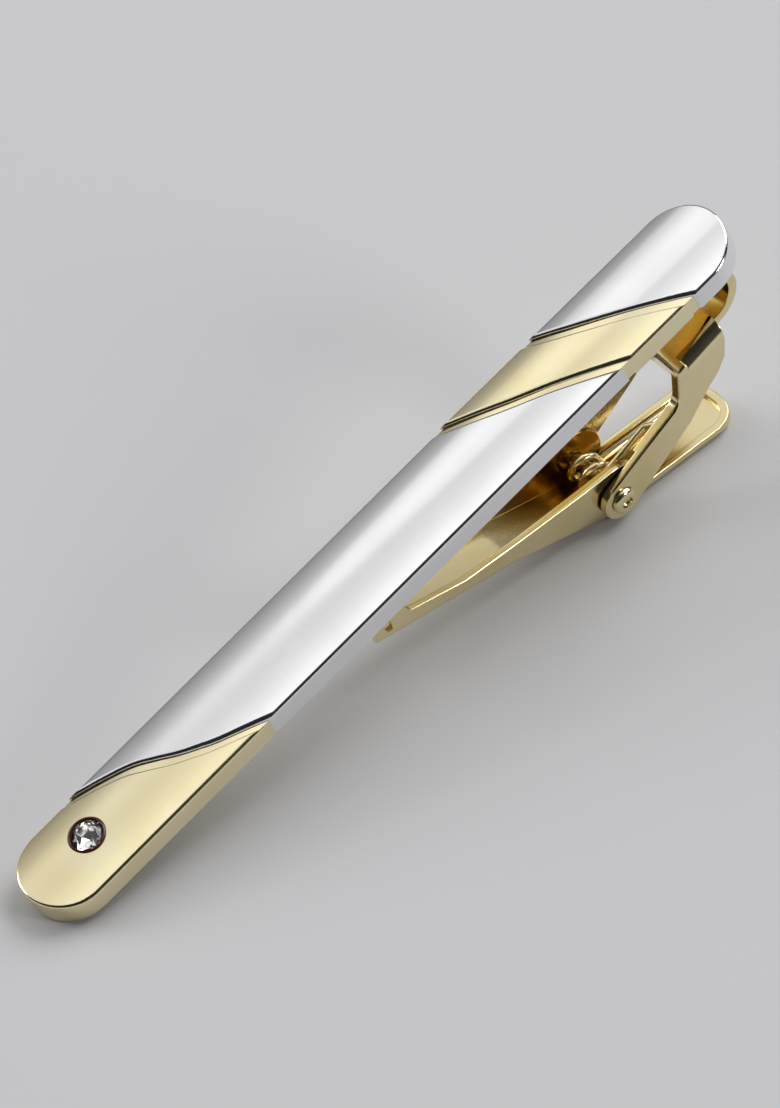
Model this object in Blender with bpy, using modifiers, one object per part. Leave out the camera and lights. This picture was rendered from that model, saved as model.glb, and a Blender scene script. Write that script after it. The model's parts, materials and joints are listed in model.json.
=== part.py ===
"""Tie clip: a crowned two-tone bar with a set stone, held on the tie by a sprung jaw.

All sizes are in metres. The bar's own frame has X along the bar, from the tip with the
stone to the hinge end, Y across it and Z up, with the bar's flat back at Z = 0. Every
piece is modelled there. The whole clip is then tilted the way it lies on a table: on the
tip of the bar and on the flat underside of the jaw's tail.
"""

import math

import bmesh
import bpy
from mathutils import Matrix, Vector

# Bar
BAR_LENGTH = 0.0580
BAR_WIDTH = 0.0061
BAR_WALL_HEIGHT = 0.0015
BAR_CROWN_HEIGHT = 0.00045
BAR_EDGE_RADIUS = 0.00024
BAR_END_SEGMENTS = 16
CROWN_STRIPS = 12
LEDGE_STRIPS = 11
CORE_STRIPS = 7
EDGE_SEGMENTS = 3

# Slanted seams. Each starts on the far side and runs towards the hinge end. Its points are
# shares of its run along the bar and of the bar's half width, from the far side to the near side.
# The wave's start is counted from the tip, and the stripe's starts from the hinge end.
SEAM_STEP = 0.00020
LEDGE_WIDTH = 0.0007
LEDGE_DEPTH = 0.00010
LEDGE_INSET = 0.00010
WAVE_SEAM_START = 0.0060
WAVE_SEAM_RUN = 0.0116
WAVE_SEAM_SHARES = (
    (0.00, 1.00), (0.13, 0.80), (0.32, 0.46), (0.43, 0.15), (0.53, -0.15),
    (0.63, -0.38), (0.74, -0.60), (1.00, -1.00),
)
STRIPE_FRONT_FROM_END = 0.0206
STRIPE_FRONT_RUN = 0.0105
STRIPE_FRONT_SHARES = ((0.00, 1.00), (0.34, 0.25), (0.64, -0.31), (1.00, -1.00))
STRIPE_BACK_FROM_END = 0.0131
STRIPE_BACK_RUN = 0.0085
STRIPE_BACK_SHARES = ((0.00, 1.00), (0.23, 0.48), (0.50, -0.06), (1.00, -1.00))

# Folded panels over the bar
PANEL_SHEET = 0.00045
PANEL_CLEARANCE = 0.00004
# How far the core's hidden and sunken faces lie inside its outer ones
CORE_RELIEF = 0.00002

# Stone and its seat. The stone's rings are shares of its radius and of its heights.
STONE_X = 0.0051
STONE_Y = 0.0001
STONE_DIAMETER = 0.00235
STONE_CROWN_HEIGHT = 0.00042
STONE_GIRDLE_HEIGHT = 0.00008
STONE_PAVILION_DEPTH = 0.00095
STONE_RISE = 0.00010
STONE_CLEARANCE = 0.00005
STONE_TABLE_SHARE = 0.56
STONE_STAR_SHARE = 0.80
STONE_STAR_HEIGHT_SHARE = 0.62
STONE_PAVILION_SHARE = 0.45
STONE_PAVILION_DEPTH_SHARE = 0.60
STONE_SIDES = 8
SEAT_RIM_WIDTH = 0.00022
SEAT_RIM_RISE = 0.00005
SEAT_FLOOR_GAP = 0.00006
SEAT_SEGMENTS = 32

# Rivet, the jaw's pivot, counted from the hinge end and from the bar's back
PIVOT_FROM_END = 0.0149
PIVOT_DEPTH = 0.0090
RIVET_RADIUS = 0.00050
RIVET_CLEARANCE = 0.00005
RIVET_HEAD_RADIUS = 0.00088
RIVET_HEAD_HEIGHT = 0.00032
RIVET_HEAD_GAP = 0.00005
RIVET_DIMPLE_SHARE = 0.45
RIVET_SEGMENTS = 24

# Jaw: a folded channel that is open towards the bar, with teeth at its tip
JAW_REACH = 0.0174
TAIL_REACH = 0.0094
JAW_HALF_WIDTH = 0.0022
JAW_TIP_HALF_WIDTH = 0.0019
JAW_SHEET = 0.00050
JAW_BEND_RADIUS = 0.00050
JAW_PROFILE_RADIUS = 0.0040
JAW_TIP_GAP = 0.00006
JAW_EAR_RADIUS = 0.0021
JAW_EAR_START_DEG = 85.0
# The underside, from the tip back, as shares of the jaw's reach ahead of the rivet and of the
# rivet's depth below the bar. It ends at the heel, a share of the reach ahead of the rivet.
JAW_BELLY_SHARES = ((1.000, 0.317), (0.448, 0.761))
JAW_HEEL_SHARE = 0.075
JAW_COIL_ROOM = 0.00009
JAW_TIP_FLOOR_SHARE = 1.1
# The walls' height over the floor beside the ear, and the top of the walls from the teeth back,
# as shares of the jaw's reach ahead of the rivet and of that height
JAW_WALL_HEIGHT = 0.0030
JAW_WALL_SHARES = ((0.839, 0.35), (0.615, 0.26), (0.379, 0.54), (0.126, 1.02))
TAIL_RIM_HEIGHT = 0.00085
TAIL_CORNER_RADIUS = 0.0018
# Teeth: their run as a share of the jaw's reach, and the flats of one tooth as shares of a pitch
TOOTH_COUNT = 2
TOOTH_RUN_SHARE = 0.178
TOOTH_PEAK_SHARES = (0.00, 0.42)
TOOTH_VALLEY_SHARES = (0.60, 0.85)
TOOTH_DEPTH_SHARE = 1.10
BEND_SEGMENTS = 4

# Link: a stamped fork, open away from the bar
LINK_REACH = 0.0109
LINK_HALF_WIDTH = 0.00285
LINK_SHEET = 0.00055
LINK_BEND_RADIUS = 0.00075
LINK_PROFILE_RADIUS = 0.0010
LINK_EAR_RADIUS = 0.0014
LINK_MARGIN = 0.00075
# Shares of the link's reach, behind the rivet, and of the rivet's depth below the bar: the web
# from the head down, and the lower edge of the cheeks from the ear back
LINK_WEB_SHARES = ((1.000, 0.344), (0.642, 0.389), (0.560, 0.670))
LINK_CHEEK_SHARES = (
    (0.569, 0.911), (0.761, 0.767), (0.844, 0.722), (0.927, 0.633), (0.972, 0.500),
)
LINK_WINDOW_SHARE = 0.640
# The fork opens to its full inner width where the jaw's walls turn between the ears
LINK_THROAT_GAP = 0.00020
LINK_THROAT_RELIEF = 0.00003
EAR_SEGMENTS = 12

# Bracket: a strip soldered to the bar's back, rolled into a hook round the link's head. Its
# places are counted from the hinge end.
BRACKET_FOOT_FROM_END = 0.0108
BRACKET_HALF_WIDTH = 0.0015
BRACKET_SHEET = 0.00065
BRACKET_SOLDER_GAP = 0.00004
HOOK_CENTRE_FROM_END = 0.0037
HOOK_LEG_FROM_END = 0.0064
HOOK_PLAY = 0.00022
HOOK_SEGMENTS = 14
ROCK_FROM_END = 0.0050

# Torsion spring round the rivet. Its legs end at shares of the tail's and the link's reach.
SPRING_WIRE_RADIUS = 0.00025
SPRING_COIL_RADIUS = 0.00092
SPRING_PITCH = 0.00100
SPRING_TURNS = 2
SPRING_TURN_POINTS = 10
SPRING_SEAT_GAP = 0.00005
SPRING_TAIL_LEG_SHARE = 0.72
SPRING_LINK_LEG_SHARE = 0.40
SPRING_HOOK_RADIUS = 0.00045
SPRING_LEAST_GAP = 0.0004

# Workshop values
MM = 0.001
OVERRUN = 0.0020
WELD = 1e-6
ON_LINE = 1e-5
SHARP_DEG = 30.0
FLAT_DEG = 0.01
ROUND_PROFILE = 0.5
SEAM_STEPS = 2
BEND_ROOM_SHARE = 0.45
BOOLEAN_SCALE = 1000

# Places worked out from the sizes
HALF_WIDTH = BAR_WIDTH / 2
PIVOT_X = BAR_LENGTH - PIVOT_FROM_END
HOOK_LEG_START = BAR_LENGTH - HOOK_LEG_FROM_END
PIVOT = Vector((PIVOT_X, 0, -PIVOT_DEPTH))
# The tail's underside passes below the rivet at this distance, and lies flat on the table
TAIL_DEPTH = SPRING_COIL_RADIUS + SPRING_WIRE_RADIUS + JAW_COIL_ROOM + JAW_SHEET
REST_TILT = math.atan2(PIVOT_DEPTH, PIVOT_X) + math.asin(TAIL_DEPTH / PIVOT.length)

# Colours and roughness
GOLD_PLATE = (0.83, 0.72, 0.42, 1.0)
GOLD_ROUGHNESS = 0.16
SILVER_PLATE = (0.86, 0.86, 0.87, 1.0)
SILVER_ROUGHNESS = 0.12
SPRING_GOLD = (0.80, 0.70, 0.42, 1.0)
SPRING_ROUGHNESS = 0.22
CLEAR_STONE = (0.95, 0.96, 0.98, 1.0)
STONE_ROUGHNESS = 0.02
STONE_TRANSMISSION = 0.9


def clear_scene():
    for thing in list(bpy.data.objects):
        bpy.data.objects.remove(thing)


def new_collection(name):
    collection = bpy.data.collections.new(name)
    bpy.context.scene.collection.children.link(collection)
    return collection


def metal(name, colour, roughness):
    material = bpy.data.materials.new(name)
    material.use_nodes = True
    shader = material.node_tree.nodes["Principled BSDF"]
    shader.inputs["Base Color"].default_value = colour
    shader.inputs["Metallic"].default_value = 1.0
    shader.inputs["Roughness"].default_value = roughness
    return material


def clear_crystal(name, colour):
    material = bpy.data.materials.new(name)
    material.use_nodes = True
    shader = material.node_tree.nodes["Principled BSDF"]
    shader.inputs["Base Color"].default_value = colour
    shader.inputs["Roughness"].default_value = STONE_ROUGHNESS
    shader.inputs["Transmission Weight"].default_value = STONE_TRANSMISSION
    return material


def new_object(name, data, collection):
    thing = bpy.data.objects.new(name, data)
    collection.objects.link(thing)
    return thing


def mesh_of(thing):
    """The object's evaluated shape as a new mesh, with its modifiers and curves worked out."""
    bpy.context.view_layer.update()
    graph = bpy.context.evaluated_depsgraph_get()
    return bpy.data.meshes.new_from_object(thing.evaluated_get(graph))


def fixed(thing):
    """The object with its modifiers worked out, so that it can be cut again."""
    mesh = mesh_of(thing)
    thing.modifiers.clear()
    thing.data = mesh
    return thing


def prism(name, points, low, high, collection):
    """A flat outline raised from low to high, with one face on each flat side."""
    curve = bpy.data.curves.new(name, "CURVE")
    curve.dimensions = "2D"
    curve.fill_mode = "BOTH"
    curve.extrude = (high - low) / 2
    spline = curve.splines.new("POLY")
    spline.points.add(len(points) - 1)
    for place, (x, y) in zip(spline.points, points):
        place.co = (x, y, 0, 1)
    spline.use_cyclic_u = True
    outline = new_object(name + "_outline", curve, collection)
    mesh = mesh_of(outline)
    bpy.data.objects.remove(outline)
    shape = bmesh.new()
    shape.from_mesh(mesh)
    bmesh.ops.remove_doubles(shape, verts=shape.verts, dist=WELD)
    flat_angle = math.radians(FLAT_DEG)
    flat = [edge for edge in shape.edges if edge.calc_face_angle(math.pi) < flat_angle]
    bmesh.ops.dissolve_edges(shape, edges=flat, use_verts=False)
    bmesh.ops.recalc_face_normals(shape, faces=shape.faces)
    bmesh.ops.translate(shape, verts=shape.verts, vec=(0, 0, (low + high) / 2))
    shape.to_mesh(mesh)
    shape.free()
    return new_object(name, mesh, collection)


def side_prism(name, points, half_width, collection):
    """An outline drawn in X and Z, as seen from the side, and spread evenly to both sides."""
    thing = prism(name, points, -half_width, half_width, collection)
    thing.data.transform(Matrix.Rotation(math.pi / 2, 4, "X"))
    return thing


def close_slivers(shape):
    """Splits each open edge at the corner that lies on it, so that its two sides meet."""
    open_edges = [edge for edge in shape.edges if edge.is_boundary]
    corners = {vert for edge in open_edges for vert in edge.verts}
    for edge in open_edges:
        start, end = edge.verts
        run = end.co - start.co
        for vert in corners - {start, end}:
            share = (vert.co - start.co).dot(run) / run.length_squared
            beside = (start.co + run * share - vert.co).length
            if 0 < share < 1 and beside < WELD * BOOLEAN_SCALE:
                bmesh.utils.edge_split(edge, start, share)
                break
    bmesh.ops.remove_doubles(shape, verts=shape.verts, dist=WELD * BOOLEAN_SCALE)


def combine(thing, other, operation):
    """Joins to a piece, or cuts from it, another one, which is used up.

    Both are enlarged for it, because the solver's own tolerances suit larger things.
    """
    for piece in (thing, other):
        piece.data.transform(Matrix.Scale(BOOLEAN_SCALE, 4))
    modifier = thing.modifiers.new(operation.lower(), "BOOLEAN")
    modifier.operation = operation
    modifier.solver = "EXACT"
    modifier.object = other
    fixed(thing)
    bpy.data.objects.remove(other)
    shape = bmesh.new()
    shape.from_mesh(thing.data)
    bmesh.ops.remove_doubles(shape, verts=shape.verts, dist=WELD * BOOLEAN_SCALE)
    close_slivers(shape)
    shape.to_mesh(thing.data)
    shape.free()
    thing.data.transform(Matrix.Scale(1 / BOOLEAN_SCALE, 4))
    return thing


def lerp(start, end, share):
    return start + (end - start) * share


def smooth_line(points, steps):
    """A curve through the points, with its first and last stretches left whole."""
    line = [points[0]]
    for i in range(1, len(points) - 2):
        before, start, end, after = (Vector(points[i + k]) for k in (-1, 0, 1, 2))
        for step in range(steps):
            t = step / steps
            place = (
                2 * start
                + (end - before) * t
                + (2 * before - 5 * start + 4 * end - after) * t**2
                + (3 * start - before - 3 * end + after) * t**3
            ) / 2
            line.append(tuple(place))
    return line + [tuple(points[-2]), tuple(points[-1])]


def seam_line(start, run, shares, shift=0.0, inset=0.0):
    """A seam from the far side to the near side, with both ends cut back by the inset."""
    points = [(start + shift + x * run, y * HALF_WIDTH) for x, y in shares]
    line = smooth_line(points, SEAM_STEPS)
    for end, beside in ((0, 1), (-1, -2)):
        stretch = Vector(line[end]) - Vector(line[beside])
        line[end] = tuple(Vector(line[end]) - stretch * abs(inset / stretch.y))
    return line


def wave_seam(shift=0.0, inset=0.0):
    return seam_line(WAVE_SEAM_START, WAVE_SEAM_RUN, WAVE_SEAM_SHARES, shift, inset)


def stripe_front(shift=0.0, inset=0.0):
    start = BAR_LENGTH - STRIPE_FRONT_FROM_END
    return seam_line(start, STRIPE_FRONT_RUN, STRIPE_FRONT_SHARES, shift, inset)


def stripe_back(shift=0.0, inset=0.0):
    start = BAR_LENGTH - STRIPE_BACK_FROM_END
    return seam_line(start, STRIPE_BACK_RUN, STRIPE_BACK_SHARES, shift, inset)


def round_end(centre_x, radius, towards):
    """The half circle at an end of the bar: towards is -1 at the tip and 1 at the hinge end."""
    places = []
    for step in range(BAR_END_SEGMENTS + 1):
        angle = math.pi / 2 + math.pi * step / BAR_END_SEGMENTS
        places.append((centre_x - towards * radius * math.cos(angle), radius * math.sin(angle)))
    return places


def tip_end():
    return round_end(HALF_WIDTH, HALF_WIDTH, -1)


def hinge_end(inset=0.0):
    return round_end(BAR_LENGTH - HALF_WIDTH, HALF_WIDTH - inset, 1)


def crown_at(y):
    return BAR_CROWN_HEIGHT * (1 - (y / HALF_WIDTH) ** 2)


def crowned_slab(
    name, front, back, shoulder, collection, lift=0.0, bottom=0.0, strips=CROWN_STRIPS, rounded=True
):
    """A length of the bar between two lines that run from the far side to the near side.

    Its top is crowned across the bar and stands lift higher at its front than at its back.
    """
    outline = list(front) + list(reversed(back))
    slab = prism(name, outline, bottom, shoulder, collection)
    shape = bmesh.new()
    shape.from_mesh(slab.data)
    middle = (bottom + shoulder) / 2
    if rounded:
        top_edges = [
            edge for edge in shape.edges
            if all(vert.co.z > middle for vert in edge.verts)
            and edge.calc_face_angle(0) > math.radians(SHARP_DEG)
        ]
        bmesh.ops.bevel(
            shape, geom=top_edges, offset=BAR_EDGE_RADIUS, segments=EDGE_SEGMENTS,
            profile=ROUND_PROFILE, affect="EDGES", clamp_overlap=False,
        )
    for strip in range(1, strips):
        y = lerp(-HALF_WIDTH, HALF_WIDTH, strip / strips)
        everything = list(shape.verts) + list(shape.edges) + list(shape.faces)
        bmesh.ops.bisect_plane(
            shape, geom=everything, dist=WELD, plane_co=(0, y, 0), plane_no=(0, 1, 0)
        )
    first = min(x for x, y in front)
    last = max(x for x, y in back)
    for vert in shape.verts:
        if vert.co.z > middle:
            slope = lift * (last - vert.co.x) / (last - first)
            vert.co.z += crown_at(vert.co.y) + slope
    bmesh.ops.triangulate(shape, faces=shape.faces)
    shape.to_mesh(slab.data)
    shape.free()
    return slab


def straight_line(x, half_width):
    return [(x, half_width), (x, -half_width)]


def make_bar_body(parts):
    """The bar's core: full width at the tip and the stripe, narrowed under the panels."""
    inset = PANEL_SHEET + PANEL_CLEARANCE
    ledge = BAR_WALL_HEIGHT - LEDGE_DEPTH
    core = crowned_slab(
        "bar_body", straight_line(HALF_WIDTH, HALF_WIDTH - inset), hinge_end(inset),
        BAR_WALL_HEIGHT - inset, parts, bottom=CORE_RELIEF, strips=CORE_STRIPS, rounded=False,
    )
    blocks = (
        crowned_slab("tip", tip_end(), wave_seam(-LEDGE_WIDTH), BAR_WALL_HEIGHT, parts),
        crowned_slab(
            "tip_ledge", wave_seam(-2 * LEDGE_WIDTH, LEDGE_INSET), wave_seam(0, LEDGE_INSET),
            ledge, parts, bottom=2 * CORE_RELIEF, strips=LEDGE_STRIPS, rounded=False,
        ),
        crowned_slab(
            "stripe", stripe_front(), stripe_back(-LEDGE_WIDTH), BAR_WALL_HEIGHT, parts,
            lift=SEAM_STEP,
        ),
        crowned_slab(
            "front_ledge", stripe_front(-LEDGE_WIDTH, LEDGE_INSET),
            stripe_front(LEDGE_WIDTH, LEDGE_INSET), ledge, parts, bottom=2 * CORE_RELIEF,
            strips=LEDGE_STRIPS, rounded=False,
        ),
        crowned_slab(
            "back_ledge", stripe_back(-2 * LEDGE_WIDTH, LEDGE_INSET),
            stripe_back(0, LEDGE_INSET), ledge, parts, bottom=2 * CORE_RELIEF,
            strips=LEDGE_STRIPS, rounded=False,
        ),
    )
    for block in blocks:
        combine(core, block, "UNION")
    rim_radius = STONE_DIAMETER / 2 + STONE_CLEARANCE
    top = BAR_WALL_HEIGHT + crown_at(STONE_Y)
    rim = turned(
        "seat_rim",
        (
            (rim_radius - SEAT_RIM_WIDTH / 2, top + SEAT_RIM_RISE),
            (rim_radius + SEAT_RIM_WIDTH / 2, top + SEAT_RIM_RISE),
            (rim_radius + SEAT_RIM_WIDTH, top),
            (rim_radius + SEAT_RIM_WIDTH, top - BAR_CROWN_HEIGHT),
            (rim_radius - SEAT_RIM_WIDTH / 2, top - BAR_CROWN_HEIGHT),
        ),
        SEAT_SEGMENTS, parts, ring=True,
    )
    rim.data.transform(Matrix.Translation((STONE_X, STONE_Y, 0)))
    combine(core, rim, "UNION")
    depth = STONE_PAVILION_DEPTH + STONE_GIRDLE_HEIGHT + STONE_CROWN_HEIGHT - STONE_RISE
    seat_floor = top - depth - SEAT_FLOOR_GAP
    hole = cylinder("seat_hole", rim_radius, top + OVERRUN - seat_floor, SEAT_SEGMENTS, parts)
    hole.data.transform(Matrix.Translation((STONE_X, STONE_Y, (top + OVERRUN + seat_floor) / 2)))
    combine(core, hole, "DIFFERENCE")
    return core


def make_panel(name, front, back, cavity_back, parts):
    """A folded cap over the bar's core, with its front edge standing proud."""
    panel = crowned_slab(name, front, back, BAR_WALL_HEIGHT, parts, lift=SEAM_STEP)
    cavity = crowned_slab(
        name + "_inside", straight_line(0, HALF_WIDTH - PANEL_SHEET), cavity_back,
        BAR_WALL_HEIGHT - PANEL_SHEET, parts, bottom=-OVERRUN, strips=CORE_STRIPS,
        rounded=False,
    )
    return combine(panel, cavity, "DIFFERENCE")


def make_main_panel(parts):
    front = wave_seam(PANEL_CLEARANCE)
    back = stripe_front(-LEDGE_WIDTH - PANEL_CLEARANCE)
    past = straight_line(BAR_LENGTH, HALF_WIDTH - PANEL_SHEET)
    return make_panel("main_panel", front, back, past, parts)


def make_end_panel(parts):
    front = stripe_back(PANEL_CLEARANCE)
    return make_panel("end_panel", front, hinge_end(), hinge_end(PANEL_SHEET), parts)


def turned(name, profile, segments, collection, ring=False):
    """A profile of radius and height, turned about Z. It runs down the outer side."""
    mesh = bpy.data.meshes.new(name)
    count = len(profile)
    edges = [(i, i + 1) for i in range(count - 1)]
    if ring:
        edges.append((count - 1, 0))
    mesh.from_pydata([(radius, 0, height) for radius, height in profile], edges, [])
    thing = new_object(name, mesh, collection)
    screw = thing.modifiers.new("turn", "SCREW")
    screw.steps = segments
    screw.render_steps = segments
    screw.use_merge_vertices = True
    screw.merge_threshold = ON_LINE
    fixed(thing)
    shape = bmesh.new()
    shape.from_mesh(thing.data)
    bmesh.ops.recalc_face_normals(shape, faces=shape.faces)
    shape.to_mesh(thing.data)
    shape.free()
    return thing


def cylinder(name, radius, height, segments, collection):
    mesh = bpy.data.meshes.new(name)
    shape = bmesh.new()
    bmesh.ops.create_cone(
        shape, cap_ends=True, segments=segments, radius1=radius, radius2=radius, depth=height
    )
    shape.to_mesh(mesh)
    shape.free()
    return new_object(name, mesh, collection)


def make_crystal(parts):
    """The stone: a brilliant cut, as the hull of its table, star, girdle and culet points."""
    radius = STONE_DIAMETER / 2
    girdle = -STONE_CROWN_HEIGHT
    girdle_foot = girdle - STONE_GIRDLE_HEIGHT
    rings = (
        (STONE_TABLE_SHARE * radius, 0, STONE_SIDES, 0.0),
        (STONE_STAR_SHARE * radius, girdle * (1 - STONE_STAR_HEIGHT_SHARE), STONE_SIDES, 0.5),
        (radius, girdle, 2 * STONE_SIDES, 0.0),
        (radius, girdle_foot, 2 * STONE_SIDES, 0.0),
        (
            STONE_PAVILION_SHARE * radius,
            girdle_foot - STONE_PAVILION_DEPTH * STONE_PAVILION_DEPTH_SHARE,
            STONE_SIDES, 0.5,
        ),
    )
    shape = bmesh.new()
    for ring_radius, height, sides, turn in rings:
        for side in range(sides):
            angle = 2 * math.pi * (side + turn) / sides
            shape.verts.new(
                (ring_radius * math.cos(angle), ring_radius * math.sin(angle), height)
            )
    shape.verts.new((0, 0, girdle_foot - STONE_PAVILION_DEPTH))
    hull = bmesh.ops.convex_hull(shape, input=shape.verts)
    bmesh.ops.delete(shape, geom=hull["geom_interior"] + hull["geom_unused"], context="VERTS")
    bmesh.ops.recalc_face_normals(shape, faces=shape.faces)
    mesh = bpy.data.meshes.new("crystal")
    shape.to_mesh(mesh)
    shape.free()
    crystal = new_object("crystal", mesh, parts)
    crystal.location = (STONE_X, STONE_Y, BAR_WALL_HEIGHT + crown_at(STONE_Y) + STONE_RISE)
    return crystal


def rounded_path(points, radius, segments):
    """The path with an arc at each of its inner corners."""
    path = [Vector(points[0])]
    for before, corner, after in zip(points, points[1:], points[2:]):
        corner = Vector(corner)
        inward = (Vector(before) - corner).normalized()
        outward = (Vector(after) - corner).normalized()
        half_angle = inward.angle(outward) / 2
        length = radius / math.tan(half_angle)
        shorter = min((Vector(before) - corner).length, (Vector(after) - corner).length)
        length = min(length, BEND_ROOM_SHARE * shorter)
        start = corner + inward * length
        end = corner + outward * length
        centre = corner + (inward + outward).normalized() * (length / math.cos(half_angle))
        sweep = (start - centre).angle_signed(end - centre)
        for step in range(segments + 1):
            arm = start - centre
            arm.rotate(Matrix.Rotation(-sweep * step / segments, 2))
            path.append(centre + arm)
    path.append(Vector(points[-1]))
    return path


def offset_path(path, distance):
    """The path moved to its left by a distance, with its corners mitred."""
    moved = []
    for i, place in enumerate(path):
        before = path[max(i - 1, 0)]
        after = path[min(i + 1, len(path) - 1)]
        first = (place - before if i else after - place).normalized()
        second = (after - place if i < len(path) - 1 else place - before).normalized()
        normal = Vector((-first.y - second.y, first.x + second.x)).normalized()
        share = normal.dot(Vector((-first.y, first.x)))
        moved.append(place + normal * (distance / share))
    return moved


def arc(centre, radius, start_deg, end_deg, segments):
    places = []
    for step in range(segments + 1):
        angle = math.radians(lerp(start_deg, end_deg, step / segments))
        places.append(centre + radius * Vector((math.cos(angle), math.sin(angle))))
    return places


def lies_on(place, path):
    """Whether a point of the side view lies on a path."""
    for start, end in zip(path, path[1:]):
        run = end - start
        share = max(0, min(1, (place - start).dot(run) / run.length_squared))
        if (place - start - run * share).length < ON_LINE:
            return True
    return False


def runs_along(edge, path):
    """Whether an edge follows a path of the side view and doesn't cross the sheet."""
    ends = [vert.co.xz for vert in edge.verts]
    return (ends[0] - ends[1]).length > ON_LINE and all(lies_on(end, path) for end in ends)


def bend_edges(thing, path, radius, segments):
    """Rounds the long edges where a sheet is folded along a path of the side view."""
    shape = bmesh.new()
    shape.from_mesh(thing.data)
    folded = [
        edge for edge in shape.edges
        if edge.calc_face_angle(0) > math.radians(SHARP_DEG) and runs_along(edge, path)
    ]
    bmesh.ops.bevel(
        shape, geom=folded, offset=radius, segments=segments, profile=ROUND_PROFILE,
        affect="EDGES", clamp_overlap=False,
    )
    shape.to_mesh(thing.data)
    shape.free()


def pivot_hole(name, half_width, parts):
    """The hole for the rivet, through both sides."""
    hole = cylinder(
        name, RIVET_RADIUS + RIVET_CLEARANCE, 2 * half_width + OVERRUN, RIVET_SEGMENTS, parts
    )
    hole.data.transform(Matrix.Rotation(math.pi / 2, 4, "X"))
    hole.data.transform(Matrix.Translation(PIVOT))
    return hole


def rest_line(x):
    """The table's surface in the bar's frame, under a place along the bar."""
    return -math.tan(REST_TILT) * x


def jaw_belly():
    """The jaw's underside, from its tip to the end of its tail."""
    points = [
        (PIVOT_X - x * JAW_REACH, -z * PIVOT_DEPTH) for x, z in JAW_BELLY_SHARES
    ]
    flat = (PIVOT_X - JAW_HEEL_SHARE * JAW_REACH, PIVOT_X + TAIL_REACH)
    return points + [(x, rest_line(x)) for x in flat]


def height_on(start, end, x):
    """The height at a place along the bar of the straight line through two points."""
    return lerp(start[1], end[1], (x - start[0]) / (end[0] - start[0]))


def belly_height(x):
    """The height of the jaw's underside ahead of its first bend."""
    tip, bend = jaw_belly()[:2]
    return height_on(tip, bend, x)


def wall_line():
    """The top of the jaw's walls, from behind the teeth to the ear."""
    belly = jaw_belly()
    line = []
    for ahead_share, height_share in JAW_WALL_SHARES:
        x = PIVOT_X - ahead_share * JAW_REACH
        start = max(i for i, place in enumerate(belly[:-1]) if place[0] <= x)
        floor = height_on(belly[start], belly[start + 1], x) + JAW_SHEET
        line.append(Vector((x, floor + height_share * JAW_WALL_HEIGHT)))
    return line


def ear_end_deg():
    """Where the jaw's ear comes down to the line of the tail's rim."""
    rim = rest_line(PIVOT_X) + TAIL_RIM_HEIGHT
    above_rim = (PIVOT.z - rim) * math.cos(REST_TILT)
    return -math.degrees(math.asin(min(1, above_rim / JAW_EAR_RADIUS)) + REST_TILT)


def tooth_line():
    """The teeth along the top of the jaw's walls, from the tip to the last tooth's back."""
    pitch = JAW_REACH * TOOTH_RUN_SHARE / TOOTH_COUNT
    tip = PIVOT_X - JAW_REACH
    valley = lerp(-JAW_TIP_GAP, belly_height(tip) + JAW_SHEET, TOOTH_DEPTH_SHARE)
    line = []
    for tooth in range(TOOTH_COUNT):
        start = tip + tooth * pitch
        line += [Vector((start + share * pitch, -JAW_TIP_GAP)) for share in TOOTH_PEAK_SHARES]
        if tooth < TOOTH_COUNT - 1:
            line += [Vector((start + share * pitch, valley)) for share in TOOTH_VALLEY_SHARES]
    return line


def taper_jaw(thing):
    """Draws the jaw in towards its tip."""
    narrowing = 1 - JAW_TIP_HALF_WIDTH / JAW_HALF_WIDTH
    for vert in thing.data.vertices:
        ahead = max(0, min(1, (PIVOT_X - vert.co.x) / JAW_REACH))
        vert.co.y *= 1 - narrowing * ahead


def round_tail(thing, end, radius):
    """Rounds the two upright corners at the end of the tail."""
    shape = bmesh.new()
    shape.from_mesh(thing.data)
    corners = [
        edge for edge in shape.edges
        if all(vert.co.x > end - ON_LINE for vert in edge.verts)
        and abs(edge.verts[0].co.y - edge.verts[1].co.y) < ON_LINE
    ]
    bmesh.ops.bevel(
        shape, geom=corners, offset=radius, segments=BEND_SEGMENTS, profile=ROUND_PROFILE,
        affect="EDGES", clamp_overlap=False,
    )
    shape.to_mesh(thing.data)
    shape.free()


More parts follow.
